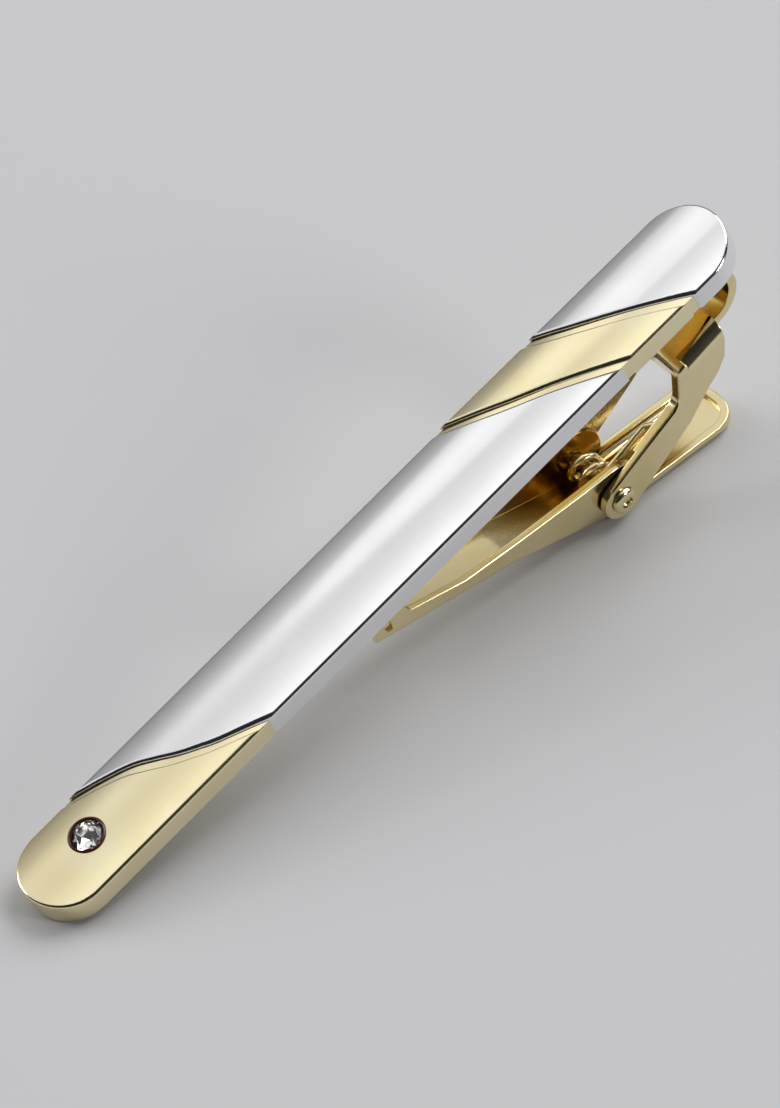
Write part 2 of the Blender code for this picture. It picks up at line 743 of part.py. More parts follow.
def make_jaw(parts):
    """The jaw: teeth at its tip, walls that carry the rivet, and a tray-shaped tail."""
    belly = rounded_path(jaw_belly(), JAW_PROFILE_RADIUS, BEND_SEGMENTS)
    ear = arc(PIVOT.xz, JAW_EAR_RADIUS, JAW_EAR_START_DEG, ear_end_deg(), EAR_SEGMENTS)
    end = PIVOT_X + TAIL_REACH
    rim_end = Vector((end, rest_line(end) + TAIL_RIM_HEIGHT))
    top = tooth_line() + wall_line() + ear + [rim_end]
    jaw = side_prism("jaw", top + list(reversed(belly)), JAW_HALF_WIDTH, parts)
    round_tail(jaw, end, TAIL_CORNER_RADIUS)
    bend_edges(jaw, belly, JAW_BEND_RADIUS, BEND_SEGMENTS)

    floor = offset_path(belly, JAW_SHEET)
    inner_end = end - JAW_SHEET
    floor_start = PIVOT_X - JAW_REACH + JAW_SHEET
    tip_floor = belly_height(floor_start) + JAW_SHEET * JAW_TIP_FLOOR_SHARE
    inside = [Vector((floor_start, tip_floor))]
    inside += [place for place in floor if floor_start < place.x < inner_end]
    inside.append(Vector((inner_end, height_on(floor[-2], floor[-1], inner_end))))
    lid = [Vector((inner_end, OVERRUN)), Vector((floor_start, OVERRUN))]
    cavity = side_prism("jaw_inside", inside + lid, JAW_HALF_WIDTH - JAW_SHEET, parts)
    round_tail(cavity, inner_end, TAIL_CORNER_RADIUS - JAW_SHEET)
    for thing in (jaw, cavity):
        taper_jaw(thing)
    combine(jaw, cavity, "DIFFERENCE")
    combine(jaw, pivot_hole("jaw_hole", JAW_HALF_WIDTH, parts), "DIFFERENCE")
    return jaw


def link_point(x, z):
    return Vector((PIVOT_X + x * LINK_REACH, -z * PIVOT_DEPTH))


def tangent_deg(pivot, place, radius, side):
    """Where on the ear's circle the straight line to a place leaves it."""
    away = place - pivot
    turn = math.acos(radius / away.length)
    return math.degrees(math.atan2(away.y, away.x) + side * turn)


def link_web():
    """The outer line of the link's web, from its head to where it meets the ear."""
    pivot = PIVOT.xz
    points = [link_point(x, z) for x, z in LINK_WEB_SHARES]
    leaves = tangent_deg(pivot, points[-1], LINK_EAR_RADIUS, 1)
    points.append(arc(pivot, LINK_EAR_RADIUS, leaves, leaves, 1)[0])
    return rounded_path(points, LINK_PROFILE_RADIUS, BEND_SEGMENTS)


def make_link(parts):
    """The fork: a head held in the hook, two arms and two ears on the rivet."""
    pivot = PIVOT.xz
    web = link_web()
    cheek = [link_point(x, z) for x, z in LINK_CHEEK_SHARES]
    top_deg = tangent_deg(pivot, link_point(*LINK_WEB_SHARES[-1]), LINK_EAR_RADIUS, 1)
    foot_deg = tangent_deg(pivot, cheek[0], LINK_EAR_RADIUS, -1)
    ear = arc(pivot, LINK_EAR_RADIUS, top_deg, foot_deg + 360, EAR_SEGMENTS)
    link = side_prism("link", web[:-1] + ear + cheek, LINK_HALF_WIDTH, parts)
    bend_edges(link, web, LINK_BEND_RADIUS, BEND_SEGMENTS)

    inner = offset_path(web, LINK_SHEET)
    run = (inner[0] - inner[1]).normalized() * OVERRUN
    out = (inner[-1] - inner[-2]).normalized() * (OVERRUN + LINK_EAR_RADIUS)
    inside = [inner[0] + run] + inner[1:-1] + [inner[-1] + out]
    depth = PIVOT_DEPTH + LINK_EAR_RADIUS + OVERRUN
    inside += [Vector((inside[-1].x, -depth)), Vector((inside[0].x, -depth))]
    cavity = side_prism("link_inside", inside, LINK_HALF_WIDTH - LINK_SHEET, parts)
    combine(link, cavity, "DIFFERENCE")

    start = PIVOT_X - LINK_EAR_RADIUS - OVERRUN
    throat = PIVOT_X + JAW_EAR_RADIUS + LINK_THROAT_GAP
    throat_half = LINK_HALF_WIDTH - LINK_SHEET + LINK_THROAT_RELIEF
    end = PIVOT_X + LINK_WINDOW_SHARE * LINK_REACH
    half = LINK_HALF_WIDTH - LINK_MARGIN
    outline = [(start, throat_half), (throat, throat_half), (throat, half), (end, half)]
    outline += [(x, -y) for x, y in reversed(outline)]
    window = prism("link_window", outline, -depth, 0, parts)
    combine(link, window, "DIFFERENCE")
    combine(link, pivot_hole("link_hole", LINK_HALF_WIDTH, parts), "DIFFERENCE")
    return link


def head_underside():
    """The height of the underside of the link's head, over the hook's lower leg."""
    head, bend = (link_point(x, z) for x, z in LINK_WEB_SHARES[:2])
    return height_on(head, bend, HOOK_LEG_START) - LINK_SHEET


def make_bracket(parts):
    """The strip on the bar's back: a flat foot, a rolled hook and a lower leg."""
    half_sheet = BRACKET_SHEET / 2
    foot = -BRACKET_SOLDER_GAP - half_sheet
    leg = head_underside() - HOOK_PLAY - half_sheet
    centre = Vector((BAR_LENGTH - HOOK_CENTRE_FROM_END, (foot + leg) / 2))
    path = [Vector((BAR_LENGTH - BRACKET_FOOT_FROM_END, foot))]
    path += arc(centre, (foot - leg) / 2, 90, -90, HOOK_SEGMENTS)
    path.append(Vector((HOOK_LEG_START, leg)))
    outline = offset_path(path, half_sheet) + list(reversed(offset_path(path, -half_sheet)))
    return side_prism("bracket", outline, BRACKET_HALF_WIDTH, parts)


def make_rivet(parts):
    """The pivot pin, with a domed and dimpled head on each side."""
    face = LINK_HALF_WIDTH + RIVET_HEAD_GAP
    crown = face + RIVET_HEAD_HEIGHT
    low = lerp(face, crown, RIVET_DIMPLE_SHARE)
    shoulder_share = 1 - RIVET_DIMPLE_SHARE / 2
    head = (
        (0, low),
        (RIVET_HEAD_RADIUS * RIVET_DIMPLE_SHARE, crown),
        (RIVET_HEAD_RADIUS * shoulder_share, lerp(face, crown, shoulder_share)),
        (RIVET_HEAD_RADIUS, low),
        (RIVET_HEAD_RADIUS, face),
        (RIVET_RADIUS, face),
    )
    profile = list(head) + [(radius, -height) for radius, height in reversed(head)]
    rivet = turned("rivet", profile, RIVET_SEGMENTS, parts)
    rivet.data.transform(Matrix.Rotation(math.pi / 2, 4, "X"))
    rivet.data.transform(Matrix.Translation(PIVOT))
    return rivet


def tail_leg_end():
    """Where the spring's far leg ends, on the floor of the tail."""
    x = PIVOT_X + SPRING_TAIL_LEG_SHARE * TAIL_REACH
    lift = (JAW_SHEET + SPRING_WIRE_RADIUS + SPRING_SEAT_GAP) / math.cos(REST_TILT)
    return Vector((x, rest_line(x) + lift))


def link_leg_end():
    """Where the spring's near leg ends, under the margin of the link's arm."""
    web = offset_path(link_web(), LINK_SHEET + SPRING_WIRE_RADIUS + SPRING_SEAT_GAP)
    x = PIVOT_X + SPRING_LINK_LEG_SHARE * LINK_REACH
    return Vector((x, height_on(web[-2], web[-1], x)))


def spring_points():
    """The wire's centre line: the far leg, the coil and the near leg."""
    pivot = PIVOT.xz
    tail_end = tail_leg_end()
    link_end = link_leg_end()
    first = tangent_deg(pivot, tail_end, SPRING_COIL_RADIUS, -1)
    last = tangent_deg(pivot, link_end, SPRING_COIL_RADIUS, 1)
    sweep = (last - first) % 360 - 360 * (SPRING_TURNS + 1)
    length = SPRING_PITCH * abs(sweep) / 360
    points = [Vector((tail_end.x, length / 2, tail_end.y))]
    steps = round(SPRING_TURN_POINTS * abs(sweep) / 360)
    for step in range(steps + 1):
        angle = math.radians(first + sweep * step / steps)
        points.append(Vector((
            pivot.x + SPRING_COIL_RADIUS * math.cos(angle),
            lerp(length / 2, -length / 2, step / steps),
            pivot.y + SPRING_COIL_RADIUS * math.sin(angle),
        )))
    near = -length / 2
    along_leg = (link_end - points[-1].xz).normalized()
    turn_start = link_end - along_leg * SPRING_HOOK_RADIUS
    points.append(Vector((turn_start.x, near, turn_start.y)))
    side_end = -(LINK_HALF_WIDTH - LINK_SHEET - SPRING_SEAT_GAP)
    points.append(Vector((link_end.x, near - SPRING_HOOK_RADIUS, link_end.y)))
    points.append(Vector((link_end.x, side_end, link_end.y)))
    return points


def least_wire_gap(points):
    """The least gap between the wire and itself, measured on points along it."""
    samples = []
    for start, end in zip(points, points[1:]):
        count = max(1, math.ceil((end - start).length / (2 * SPRING_WIRE_RADIUS)))
        samples += [start.lerp(end, step / count) for step in range(count)]
    samples.append(points[-1])
    places = [0.0]
    for start, end in zip(samples, samples[1:]):
        places.append(places[-1] + (end - start).length)
    near_along = math.pi * SPRING_COIL_RADIUS
    gaps = [
        (samples[i] - samples[k]).length - 2 * SPRING_WIRE_RADIUS
        for i in range(len(samples)) for k in range(i)
        if places[i] - places[k] > near_along
    ]
    return min(gaps)


def make_spring(parts):
    points = spring_points()
    gap = least_wire_gap(points) / MM
    print(f"spring: least gap to itself {gap:.3f} mm, wanted over {SPRING_LEAST_GAP / MM:.2f} mm")
    curve = bpy.data.curves.new("spring", "CURVE")
    curve.dimensions = "3D"
    curve.bevel_depth = SPRING_WIRE_RADIUS
    curve.bevel_resolution = 1
    curve.use_fill_caps = True
    spline = curve.splines.new("POLY")
    spline.points.add(len(points) - 1)
    for place, point in zip(spline.points, points):
        place.co = (*point, 1)
    return new_object("spring", curve, parts)


def carry(thing, parent, origin):
    """Hangs a piece on an empty, with the piece's own origin at that empty's place."""
    thing.data.transform(Matrix.Translation(-origin))
    thing.parent = parent


def new_empty(name, place, parent, collection):
    empty = new_object(name, None, collection)
    empty.location = place
    empty.parent = parent
    return empty


def finish_piece(thing, material):
    thing.data.materials.clear()
    thing.data.materials.append(material)
    if thing.type == "MESH":
        thing.data.shade_smooth()
        thing.data.set_sharp_from_angle(angle=math.radians(SHARP_DEG))


def set_down(root, pieces):
    """Tilts the clip onto its tip and tail, and centres its box over the origin."""
    root.rotation_euler = (0, -REST_TILT, 0)
    bpy.context.view_layer.update()
    graph = bpy.context.evaluated_depsgraph_get()
    places = []
    for piece in pieces:
        shown = piece.evaluated_get(graph)
        mesh = shown.to_mesh()
        places += [shown.matrix_world @ vert.co for vert in mesh.vertices]
        shown.to_mesh_clear()
    low = Vector([min(place[k] for place in places) for k in range(3)])
    high = Vector([max(place[k] for place in places) for k in range(3)])
    centre = (low + high) / 2
    root.location = (-centre.x, -centre.y, -low.z)
    bpy.context.view_layer.update()


def build():
    clear_scene()
    parts = new_collection("tie_clip")
    gold = {
        name: metal(name + "_gold", GOLD_PLATE, GOLD_ROUGHNESS)
        for name in ("bar_body", "bracket", "link", "jaw", "rivet")
    }
    silver = {
        name: metal(name + "_silver", SILVER_PLATE, SILVER_ROUGHNESS)
        for name in ("main_panel", "end_panel")
    }

    root = new_empty("rest_pose", Vector(), None, parts)
    rock_x = BAR_LENGTH - ROCK_FROM_END
    rock_origin = Vector((rock_x, 0, head_underside() + LINK_SHEET / 2))
    link_rock = new_empty("link_rock", rock_origin, root, parts)
    jaw_pivot = new_empty("jaw_pivot", PIVOT - rock_origin, link_rock, parts)

    bar_pieces = (
        make_bar_body(parts), make_main_panel(parts), make_end_panel(parts), make_bracket(parts)
    )
    for piece in bar_pieces:
        piece.parent = root
    crystal = make_crystal(parts)
    crystal.parent = root
    link_pieces = (make_link(parts), make_rivet(parts))
    for piece in link_pieces:
        carry(piece, link_rock, rock_origin)
    jaw_pieces = (make_jaw(parts), make_spring(parts))
    for piece in jaw_pieces:
        carry(piece, jaw_pivot, PIVOT)

    materials = {
        **gold, **silver,
        "crystal": clear_crystal("crystal_clear", CLEAR_STONE),
        "spring": metal("spring_gold", SPRING_GOLD, SPRING_ROUGHNESS),
    }
    pieces = bar_pieces + (crystal,) + link_pieces + jaw_pieces
    for piece in pieces:
        finish_piece(piece, materials[piece.name])
    set_down(root, pieces)


build()
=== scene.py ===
"""Looks for a tie clip: polished gold and silver-coloured plate, a glued stone and a sprung jaw.

Each section makes one piece, in the order in which the clip is put together. Sizes are in
millimetres in the bar's own frame: X from the tip with the stone to the hinge end, Y across
the bar and Z up, with the bar's flat back at Z = 0. Each finished piece is scaled to metres
and set down the way the clip lies, on the bar's tip and on the jaw's tail.
"""

import json
import math

import bmesh
import bpy
from mathutils import Matrix, Vector


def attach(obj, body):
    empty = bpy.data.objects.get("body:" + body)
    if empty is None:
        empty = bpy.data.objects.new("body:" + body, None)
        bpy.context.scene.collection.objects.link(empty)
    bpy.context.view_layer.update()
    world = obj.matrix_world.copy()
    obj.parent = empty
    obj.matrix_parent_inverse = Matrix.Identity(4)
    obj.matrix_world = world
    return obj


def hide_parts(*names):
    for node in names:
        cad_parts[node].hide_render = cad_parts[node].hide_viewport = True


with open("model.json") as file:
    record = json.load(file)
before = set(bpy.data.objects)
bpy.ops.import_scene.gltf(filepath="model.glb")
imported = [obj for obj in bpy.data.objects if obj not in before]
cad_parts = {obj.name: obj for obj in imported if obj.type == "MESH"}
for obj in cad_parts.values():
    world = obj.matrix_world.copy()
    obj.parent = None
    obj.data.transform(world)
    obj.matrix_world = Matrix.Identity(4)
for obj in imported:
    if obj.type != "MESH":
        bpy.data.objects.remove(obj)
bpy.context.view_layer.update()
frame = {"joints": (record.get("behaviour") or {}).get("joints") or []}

# The bar's body
# A zinc casting with a low crown, plated pale gold and polished. It shows at the stone's end and
# as the slanted stripe, with a shallow ledge beside each slanted seam. The stone sits in a hole
# near its tip.
BAR_LENGTH = 58.0
HALF_WIDTH = 3.05
BAR_WALL = 1.5
CROWN = 0.45
EDGE_RADIUS = 0.18
PROUD_EDGE_RADIUS = 0.28
END_SEGMENTS = 56
EDGE_SEGMENTS = 7
CROWN_STRIPS = 40
LEDGE_STRIPS = 37
CORE_STRIPS = 23
SEAM_STEP = 0.20
SEAM_STEPS = 6
LEDGE_WIDTH = 0.70
LEDGE_DEPTH = 0.10
LEDGE_INSET = 0.10
# Each seam: where it starts, how far it runs along the bar, and its points as shares of that run
# and of the half width, from the far side to the near side
WAVE_SEAM = (6.0, 11.6, (
    (0.00, 1.00), (0.13, 0.80), (0.32, 0.46), (0.43, 0.15), (0.53, -0.15),
    (0.63, -0.38), (0.74, -0.60), (1.00, -1.00),
))
STRIPE_FRONT = (BAR_LENGTH - 20.6, 10.5, ((0.00, 1.00), (0.34, 0.25), (0.64, -0.31), (1.00, -1.00)))
STRIPE_BACK = (BAR_LENGTH - 13.1, 8.5, ((0.00, 1.00), (0.23, 0.48), (0.50, -0.06), (1.00, -1.00)))
PANEL_SHEET = 0.45
PANEL_GAP = 0.04
HIDDEN_RELIEF = 0.02
STONE_PLACE = Vector((5.1, 0.1))
STONE_RADIUS = 1.175
STONE_CROWN = 0.42
STONE_GIRDLE = 0.08
STONE_PAVILION = 0.95
STONE_RISE = 0.10
SEAT_GAP = 0.05
SEAT_FLOOR_GAP = 0.06
ROUND_SEGMENTS = 64
# How the edges are found and rounded, how far a cut runs on, and how near is in one place
OVERRUN = 2.0
WELD = 0.001
FINE_WELD = 0.0001
ON_LINE = 0.01
LEAST_WEIGHT = 1e-12
FLAT_DEG = 0.02
FOLD_DEG = 30.0
NEARLY_UP = 0.9
ROUND_PROFILE = 0.5
BROKEN_EDGE_SEGMENTS = 3
# The rivet's place below the bar, and how far above the table the jaw's flat tail carries it
PIVOT = Vector((43.1, 0, -9.0))
TAIL_DEPTH = 1.76
REST_TILT = math.atan2(-PIVOT.z, PIVOT.x) + math.asin(TAIL_DEPTH / PIVOT.length)
MM = 0.001
# The plating: two tones of gold, how rough it is, the coarseness of its clouds, hairlines and
# ripple, and how much each of them shows
PALE_GOLD = (0.93, 0.84, 0.57)
DEEP_GOLD = (0.89, 0.77, 0.46)
BAR_ROUGHNESS = 0.15
ROUGHNESS_SPREAD_SHARES = (0.8, 1.3)
CLOUD_SCALE = 220
CLOUD_DETAIL = 4
CLOUD_RANGE = (0.35, 0.75)
HAIRLINE_SCALE = (70, 5200, 5200)
HAIRLINE_DETAIL = 3
HAIRLINE_POLISH_SHARE = 0.35
HAIRLINE_RELIEF_SHARE = 0.10
RIPPLE_SCALE = 900
RELIEF_STRENGTH = 0.25
RELIEF_HEIGHT = 0.000012

pivot_place = next(
    Vector(joint["pos_m"]) for joint in frame["joints"] if joint["name"] == "jaw_pivot"
)
clip = bpy.data.collections.new("tie_clip_looks")
bpy.context.scene.collection.children.link(clip)


def new_piece(name, shape):
    """A piece from a bmesh, which is used up."""
    bmesh.ops.recalc_face_normals(shape, faces=shape.faces)
    mesh = bpy.data.meshes.new(name)
    shape.to_mesh(mesh)
    shape.free()
    piece = bpy.data.objects.new(name, mesh)
    clip.objects.link(piece)
    return piece


def shape_of(piece):
    shape = bmesh.new()
    shape.from_mesh(piece.data)
    return shape


def put_back(shape, piece):
    shape.to_mesh(piece.data)
    shape.free()


def finished_mesh(thing):
    """The mesh that a piece's modifiers, or a curve's thickness, come to."""
    bpy.context.view_layer.update()
    graph = bpy.context.evaluated_depsgraph_get()
    return bpy.data.meshes.new_from_object(thing.evaluated_get(graph))


def prism(name, outline, low, high):
    """A flat outline raised from low to high."""
    shape = bmesh.new()
    rings = [[shape.verts.new((x, y, z)) for x, y in outline] for z in (low, high)]
    for ring in rings:
        shape.faces.new(ring)
    for k in range(len(outline)):
        shape.faces.new([rings[0][k - 1], rings[0][k], rings[1][k], rings[1][k - 1]])
    return new_piece(name, shape)


def turned(name, profile, closed=False):
    """A profile of radius and height, turned about Z."""
    shape = bmesh.new()
    verts = [shape.verts.new((radius, 0, height)) for radius, height in profile]
    last = len(verts) if closed else len(verts) - 1
    edges = [shape.edges.new((verts[k], verts[(k + 1) % len(verts)])) for k in range(last)]
    bmesh.ops.spin(
        shape, geom=verts + edges, cent=(0, 0, 0), axis=(0, 0, 1),
        angle=math.tau, steps=ROUND_SEGMENTS,
    )
    bmesh.ops.remove_doubles(shape, verts=shape.verts, dist=FINE_WELD)
    return new_piece(name, shape)


def combine(piece, other, operation):
    """Joins to a piece, or cuts from it, another one, which is used up."""
    modifier = piece.modifiers.new(operation.lower(), "BOOLEAN")
    modifier.operation = operation
    modifier.solver = "EXACT"
    modifier.object = other
    mesh = finished_mesh(piece)
    piece.modifiers.clear()
    piece.data = mesh
    bpy.data.objects.remove(other)
    shape = shape_of(piece)
    bmesh.ops.remove_doubles(shape, verts=shape.verts, dist=WELD)
    put_back(shape, piece)


def seam(line, shift=0.0, inset=0.0):
    """A slanted seam from the far side to the near side, as a smooth curve with straight ends."""
    start, run, shares = line
    points = [Vector((start + shift + x * run, y * HALF_WIDTH)) for x, y in shares]
    path = [points[0]]
    for before, here, there, after in zip(points, points[1:], points[2:], points[3:]):
        for step in range(SEAM_STEPS):
            t = step / SEAM_STEPS
            path.append((
                2 * here + (there - before) * t
                + (2 * before - 5 * here + 4 * there - after) * t**2
                + (3 * here - before - 3 * there + after) * t**3
            ) / 2)
    path += points[-2:]
    for end, beside in ((0, 1), (-1, -2)):
        stretch = path[end] - path[beside]
        path[end] = path[end] - stretch * abs(inset / stretch.y)
    return path


def round_end(centre_x, radius, towards):
    """Half a circle across the bar, from the far side to the near side."""
    angles = [math.pi / 2 + math.pi * step / END_SEGMENTS for step in range(END_SEGMENTS + 1)]
    return [
        Vector((centre_x - towards * radius * math.cos(angle), radius * math.sin(angle)))
        for angle in angles
    ]


def hinge_end(inset=0.0):
    """The round end of the bar."""
    return round_end(BAR_LENGTH - HALF_WIDTH, HALF_WIDTH - inset, 1)


def across(x, half_width):
    """A straight line across the bar."""
    return [Vector((x, half_width)), Vector((x, -half_width))]


def crown_at(y):
    """How high the crown stands over the bar's edge."""
    return CROWN * (1 - (y / HALF_WIDTH) ** 2)


def lies_on(place, path):
    """Whether a place is on a line of straight stretches."""
    for start, end in zip(path, path[1:]):
        run = end - start
        share = max(0, min(1, (place - start).dot(run) / run.length_squared))
        if (place - start - run * share).length < ON_LINE:
            return True
    return False


def round_rim(slab, front, middle, front_radius):
    """Rounds the top edge of a slab, more along its front than elsewhere."""
    shape = shape_of(slab)
    weights = shape.edges.layers.float.new("bevel_weight_edge")
    for edge in shape.edges:
        above = all(vert.co.z > middle for vert in edge.verts)
        if above and edge.calc_face_angle(0) > math.radians(FOLD_DEG):
            at_front = all(lies_on(vert.co.xy, front) for vert in edge.verts)
            edge[weights] = 1 if at_front else EDGE_RADIUS / front_radius
    put_back(shape, slab)
    modifier = slab.modifiers.new("rim", "BEVEL")
    modifier.limit_method = "WEIGHT"
    modifier.width = front_radius
    modifier.segments = EDGE_SEGMENTS
    modifier.use_clamp_overlap = False
    slab.data = finished_mesh(slab)
    slab.modifiers.clear()


def crowned_slab(
    name, front, back, shoulder, lift=0.0, bottom=0.0, strips=CROWN_STRIPS, edge=None
):
    """A length of the bar between two lines across it, with a crowned top.

    The shoulder is the height of its sides. The lift raises its front over its back, and the edge
    is the radius of its front's rim.
    """
    slab = prism(name, list(front) + list(reversed(back)), bottom, shoulder)
    middle = (bottom + shoulder) / 2
    if edge:
        round_rim(slab, front, middle, edge)
    shape = shape_of(slab)
    for strip in range(1, strips):
        y = HALF_WIDTH * (2 * strip / strips - 1)
        everything = list(shape.verts) + list(shape.edges) + list(shape.faces)
        bmesh.ops.bisect_plane(
            shape, geom=everything, dist=WELD, plane_co=(0, y, 0), plane_no=(0, 1, 0)
        )
    first = min(point.x for point in front)
    last = max(point.x for point in back)
    for vert in shape.verts:
        if vert.co.z > middle:
            vert.co.z += crown_at(vert.co.y) + lift * (last - vert.co.x) / (last - first)
    bmesh.ops.triangulate(shape, faces=shape.faces)
    put_back(shape, slab)
    return slab


def corner_normals(mesh):
    """Normals that are smooth over curves and crisp at folds.

    On the crown they follow its true curve, so that reflections run unbroken along the bar.
    """
    points = [vert.co for vert in mesh.vertices]
    meeting = [[] for point in points]
    strip_slope = 2 * CROWN / HALF_WIDTH / CORE_STRIPS
    for face in mesh.polygons:
        around = list(face.vertices)
        for k, corner in enumerate(face.loop_indices):
            here = points[around[k]]
            before = points[around[k - 1]] - here
            after = points[around[(k + 1) % len(around)]] - here
            normal = face.normal.copy()
            slope = 2 * CROWN * here.y / HALF_WIDTH**2
            if normal.z > NEARLY_UP and abs(normal.y / normal.z - slope) < strip_slope:
                normal = Vector((normal.x, slope * normal.z, normal.z)).normalized()
            meeting[around[k]].append((corner, normal, face.area * before.angle(after, 0)))
    together = math.cos(math.radians(FOLD_DEG))
    normals = [None] * len(mesh.loops)
    for corners in meeting:
        for corner, normal, _ in corners:
            near = [other * weight for _, other, weight in corners if other.dot(normal) > together]
            normals[corner] = (sum(near, Vector()) + normal * LEAST_WEIGHT).normalized()
    return normals


def round_edges(shape, edges, radius, segments):
    bmesh.ops.bevel(
        shape, geom=edges, offset=radius, segments=segments, profile=ROUND_PROFILE,
        affect="EDGES", clamp_overlap=False,
    )


def set_down(piece, material, broken_edge=0.0, smooth=True):
    """Breaks a piece's sharp edges, shades it and lays it down at its real size."""
    shape = shape_of(piece)
    bmesh.ops.dissolve_limit(
        shape, angle_limit=math.radians(FLAT_DEG), verts=shape.verts, edges=shape.edges
    )
    if broken_edge:
        sharp = [edge for edge in shape.edges if edge.calc_face_angle(0) > math.radians(FOLD_DEG)]
        round_edges(shape, sharp, broken_edge, BROKEN_EDGE_SEGMENTS)
    put_back(shape, piece)
    normals = corner_normals(piece.data)
    turn = Matrix.Rotation(-REST_TILT, 4, "Y")
    shift = pivot_place - turn @ (PIVOT * MM)
    piece.data.transform(Matrix.Translation(shift) @ turn @ Matrix.Scale(MM, 4))
    piece.data.materials.append(material)
    if smooth:
        piece.data.shade_smooth()
        piece.data.normals_split_custom_set([turn.to_3x3() @ normal for normal in normals])


def new_material(name):
    """A material with its nodes, the means to join them, and its shader."""
    material = bpy.data.materials.new(name)
    material.use_nodes = True
    tree = material.node_tree
    return material, tree.nodes, tree.links.new, tree.nodes["Principled BSDF"]


def mottled(nodes, link, place, scale, detail=2):
    """A soft random pattern."""
    pattern = nodes.new("ShaderNodeTexNoise")
    pattern.inputs["Scale"].default_value = scale
    pattern.inputs["Detail"].default_value = detail
    link(place, pattern.inputs["Vector"])
    return pattern.outputs["Fac"]


def fitted(nodes, link, value, old_range, new_range=(0, 1), course="LINEAR"):
    """A value whose old range is stretched over a new one."""
    fit = nodes.new("ShaderNodeMapRange")
    fit.interpolation_type = course
    for name, end in zip(("From Min", "From Max", "To Min", "To Max"), (*old_range, *new_range)):
        fit.inputs[name].default_value = end
    link(value, fit.inputs["Value"])
    return fit.outputs["Result"]


def mixed(nodes, link, share, base, top):
    """A share of one colour over another. The base may be another node's."""
    mix = nodes.new("ShaderNodeMix")
    mix.data_type = "RGBA"
    link(share, mix.inputs["Factor"])
    if isinstance(base, tuple):
        mix.inputs["A"].default_value = (*base, 1)
    else:
        link(base, mix.inputs["A"])
    mix.inputs["B"].default_value = (*top, 1)
    return mix.outputs["Result"]


def worked_out(nodes, link, operation, *values):
    """What a sum of numbers and of other nodes' values comes to."""
    node = nodes.new("ShaderNodeMath")
    node.operation = operation
    for socket, value in zip(node.inputs, values):
        if isinstance(value, (int, float)):
            socket.default_value = value
        else:
            link(value, socket)
    return node.outputs["Value"]


def plated(name, colour, deep_colour, roughness):
    """Polished plate: cloudy patches in the polish, hairlines along the bar and a fine ripple."""
    material, nodes, link, shader = new_material(name)
    shader.inputs["Metallic"].default_value = 1.0
    place = nodes.new("ShaderNodeTexCoord").outputs["Object"]
    level = nodes.new("ShaderNodeMapping")
    level.inputs["Rotation"].default_value = (0, REST_TILT, 0)
    link(place, level.inputs["Vector"])
    clouds = mottled(nodes, link, level.outputs["Vector"], CLOUD_SCALE, CLOUD_DETAIL)
    patches = fitted(nodes, link, clouds, CLOUD_RANGE)
    link(mixed(nodes, link, patches, colour, deep_colour), shader.inputs["Base Color"])

    along = nodes.new("ShaderNodeMapping")
    along.inputs["Scale"].default_value = HAIRLINE_SCALE
    link(level.outputs["Vector"], along.inputs["Vector"])
    hairlines = mottled(nodes, link, along.outputs["Vector"], 1, HAIRLINE_DETAIL)
    polish = worked_out(nodes, link, "MULTIPLY_ADD", hairlines, HAIRLINE_POLISH_SHARE, clouds)
    spread = [share * roughness for share in ROUGHNESS_SPREAD_SHARES]
    link(fitted(nodes, link, polish, (0, 1), spread), shader.inputs["Roughness"])

    ripple = mottled(nodes, link, level.outputs["Vector"], RIPPLE_SCALE)
    relief = worked_out(nodes, link, "MULTIPLY_ADD", hairlines, HAIRLINE_RELIEF_SHARE, ripple)
    bump = nodes.new("ShaderNodeBump")
    bump.inputs["Strength"].default_value = RELIEF_STRENGTH
    bump.inputs["Distance"].default_value = RELIEF_HEIGHT
    link(relief, bump.inputs["Height"])
    link(bump.outputs["Normal"], shader.inputs["Normal"])
    return material


def bar_body():
    """The bar with its tip, its stripe and its ledges joined on, and the stone's hole cut in."""
    inset = PANEL_SHEET + PANEL_GAP
    ledge = BAR_WALL - LEDGE_DEPTH
    under = 2 * HIDDEN_RELIEF
    body = crowned_slab(
        "gold_bar", across(HALF_WIDTH, HALF_WIDTH - inset), hinge_end(inset), BAR_WALL - inset,
        bottom=HIDDEN_RELIEF, strips=CORE_STRIPS,
    )
    tip = round_end(HALF_WIDTH, HALF_WIDTH, -1)
    tip_slab = crowned_slab("tip", tip, seam(WAVE_SEAM, -LEDGE_WIDTH), BAR_WALL, edge=EDGE_RADIUS)
    combine(body, tip_slab, "UNION")
    stripe = crowned_slab(
        "stripe", seam(STRIPE_FRONT), seam(STRIPE_BACK, -LEDGE_WIDTH), BAR_WALL,
        lift=SEAM_STEP, edge=PROUD_EDGE_RADIUS,
    )
    combine(body, stripe, "UNION")
    for line, start, end in (
        (WAVE_SEAM, -2 * LEDGE_WIDTH, 0),
        (STRIPE_FRONT, -LEDGE_WIDTH, LEDGE_WIDTH),
        (STRIPE_BACK, -2 * LEDGE_WIDTH, 0),
    ):
        strip = crowned_slab(
            "ledge", seam(line, start, LEDGE_INSET), seam(line, end, LEDGE_INSET), ledge,
            bottom=under, strips=LEDGE_STRIPS,
        )
        combine(body, strip, "UNION")
    hole_radius = STONE_RADIUS + SEAT_GAP
    top = BAR_WALL + crown_at(STONE_PLACE.y)
    seat_floor = top + STONE_RISE - STONE_CROWN - STONE_GIRDLE - STONE_PAVILION - SEAT_FLOOR_GAP
    hole = turned("hole", [
        (0, top + OVERRUN), (hole_radius, top + OVERRUN), (hole_radius, seat_floor), (0, seat_floor)
    ])
    hole.data.transform(Matrix.Translation((*STONE_PLACE, 0)))
    combine(body, hole, "DIFFERENCE")
    return body


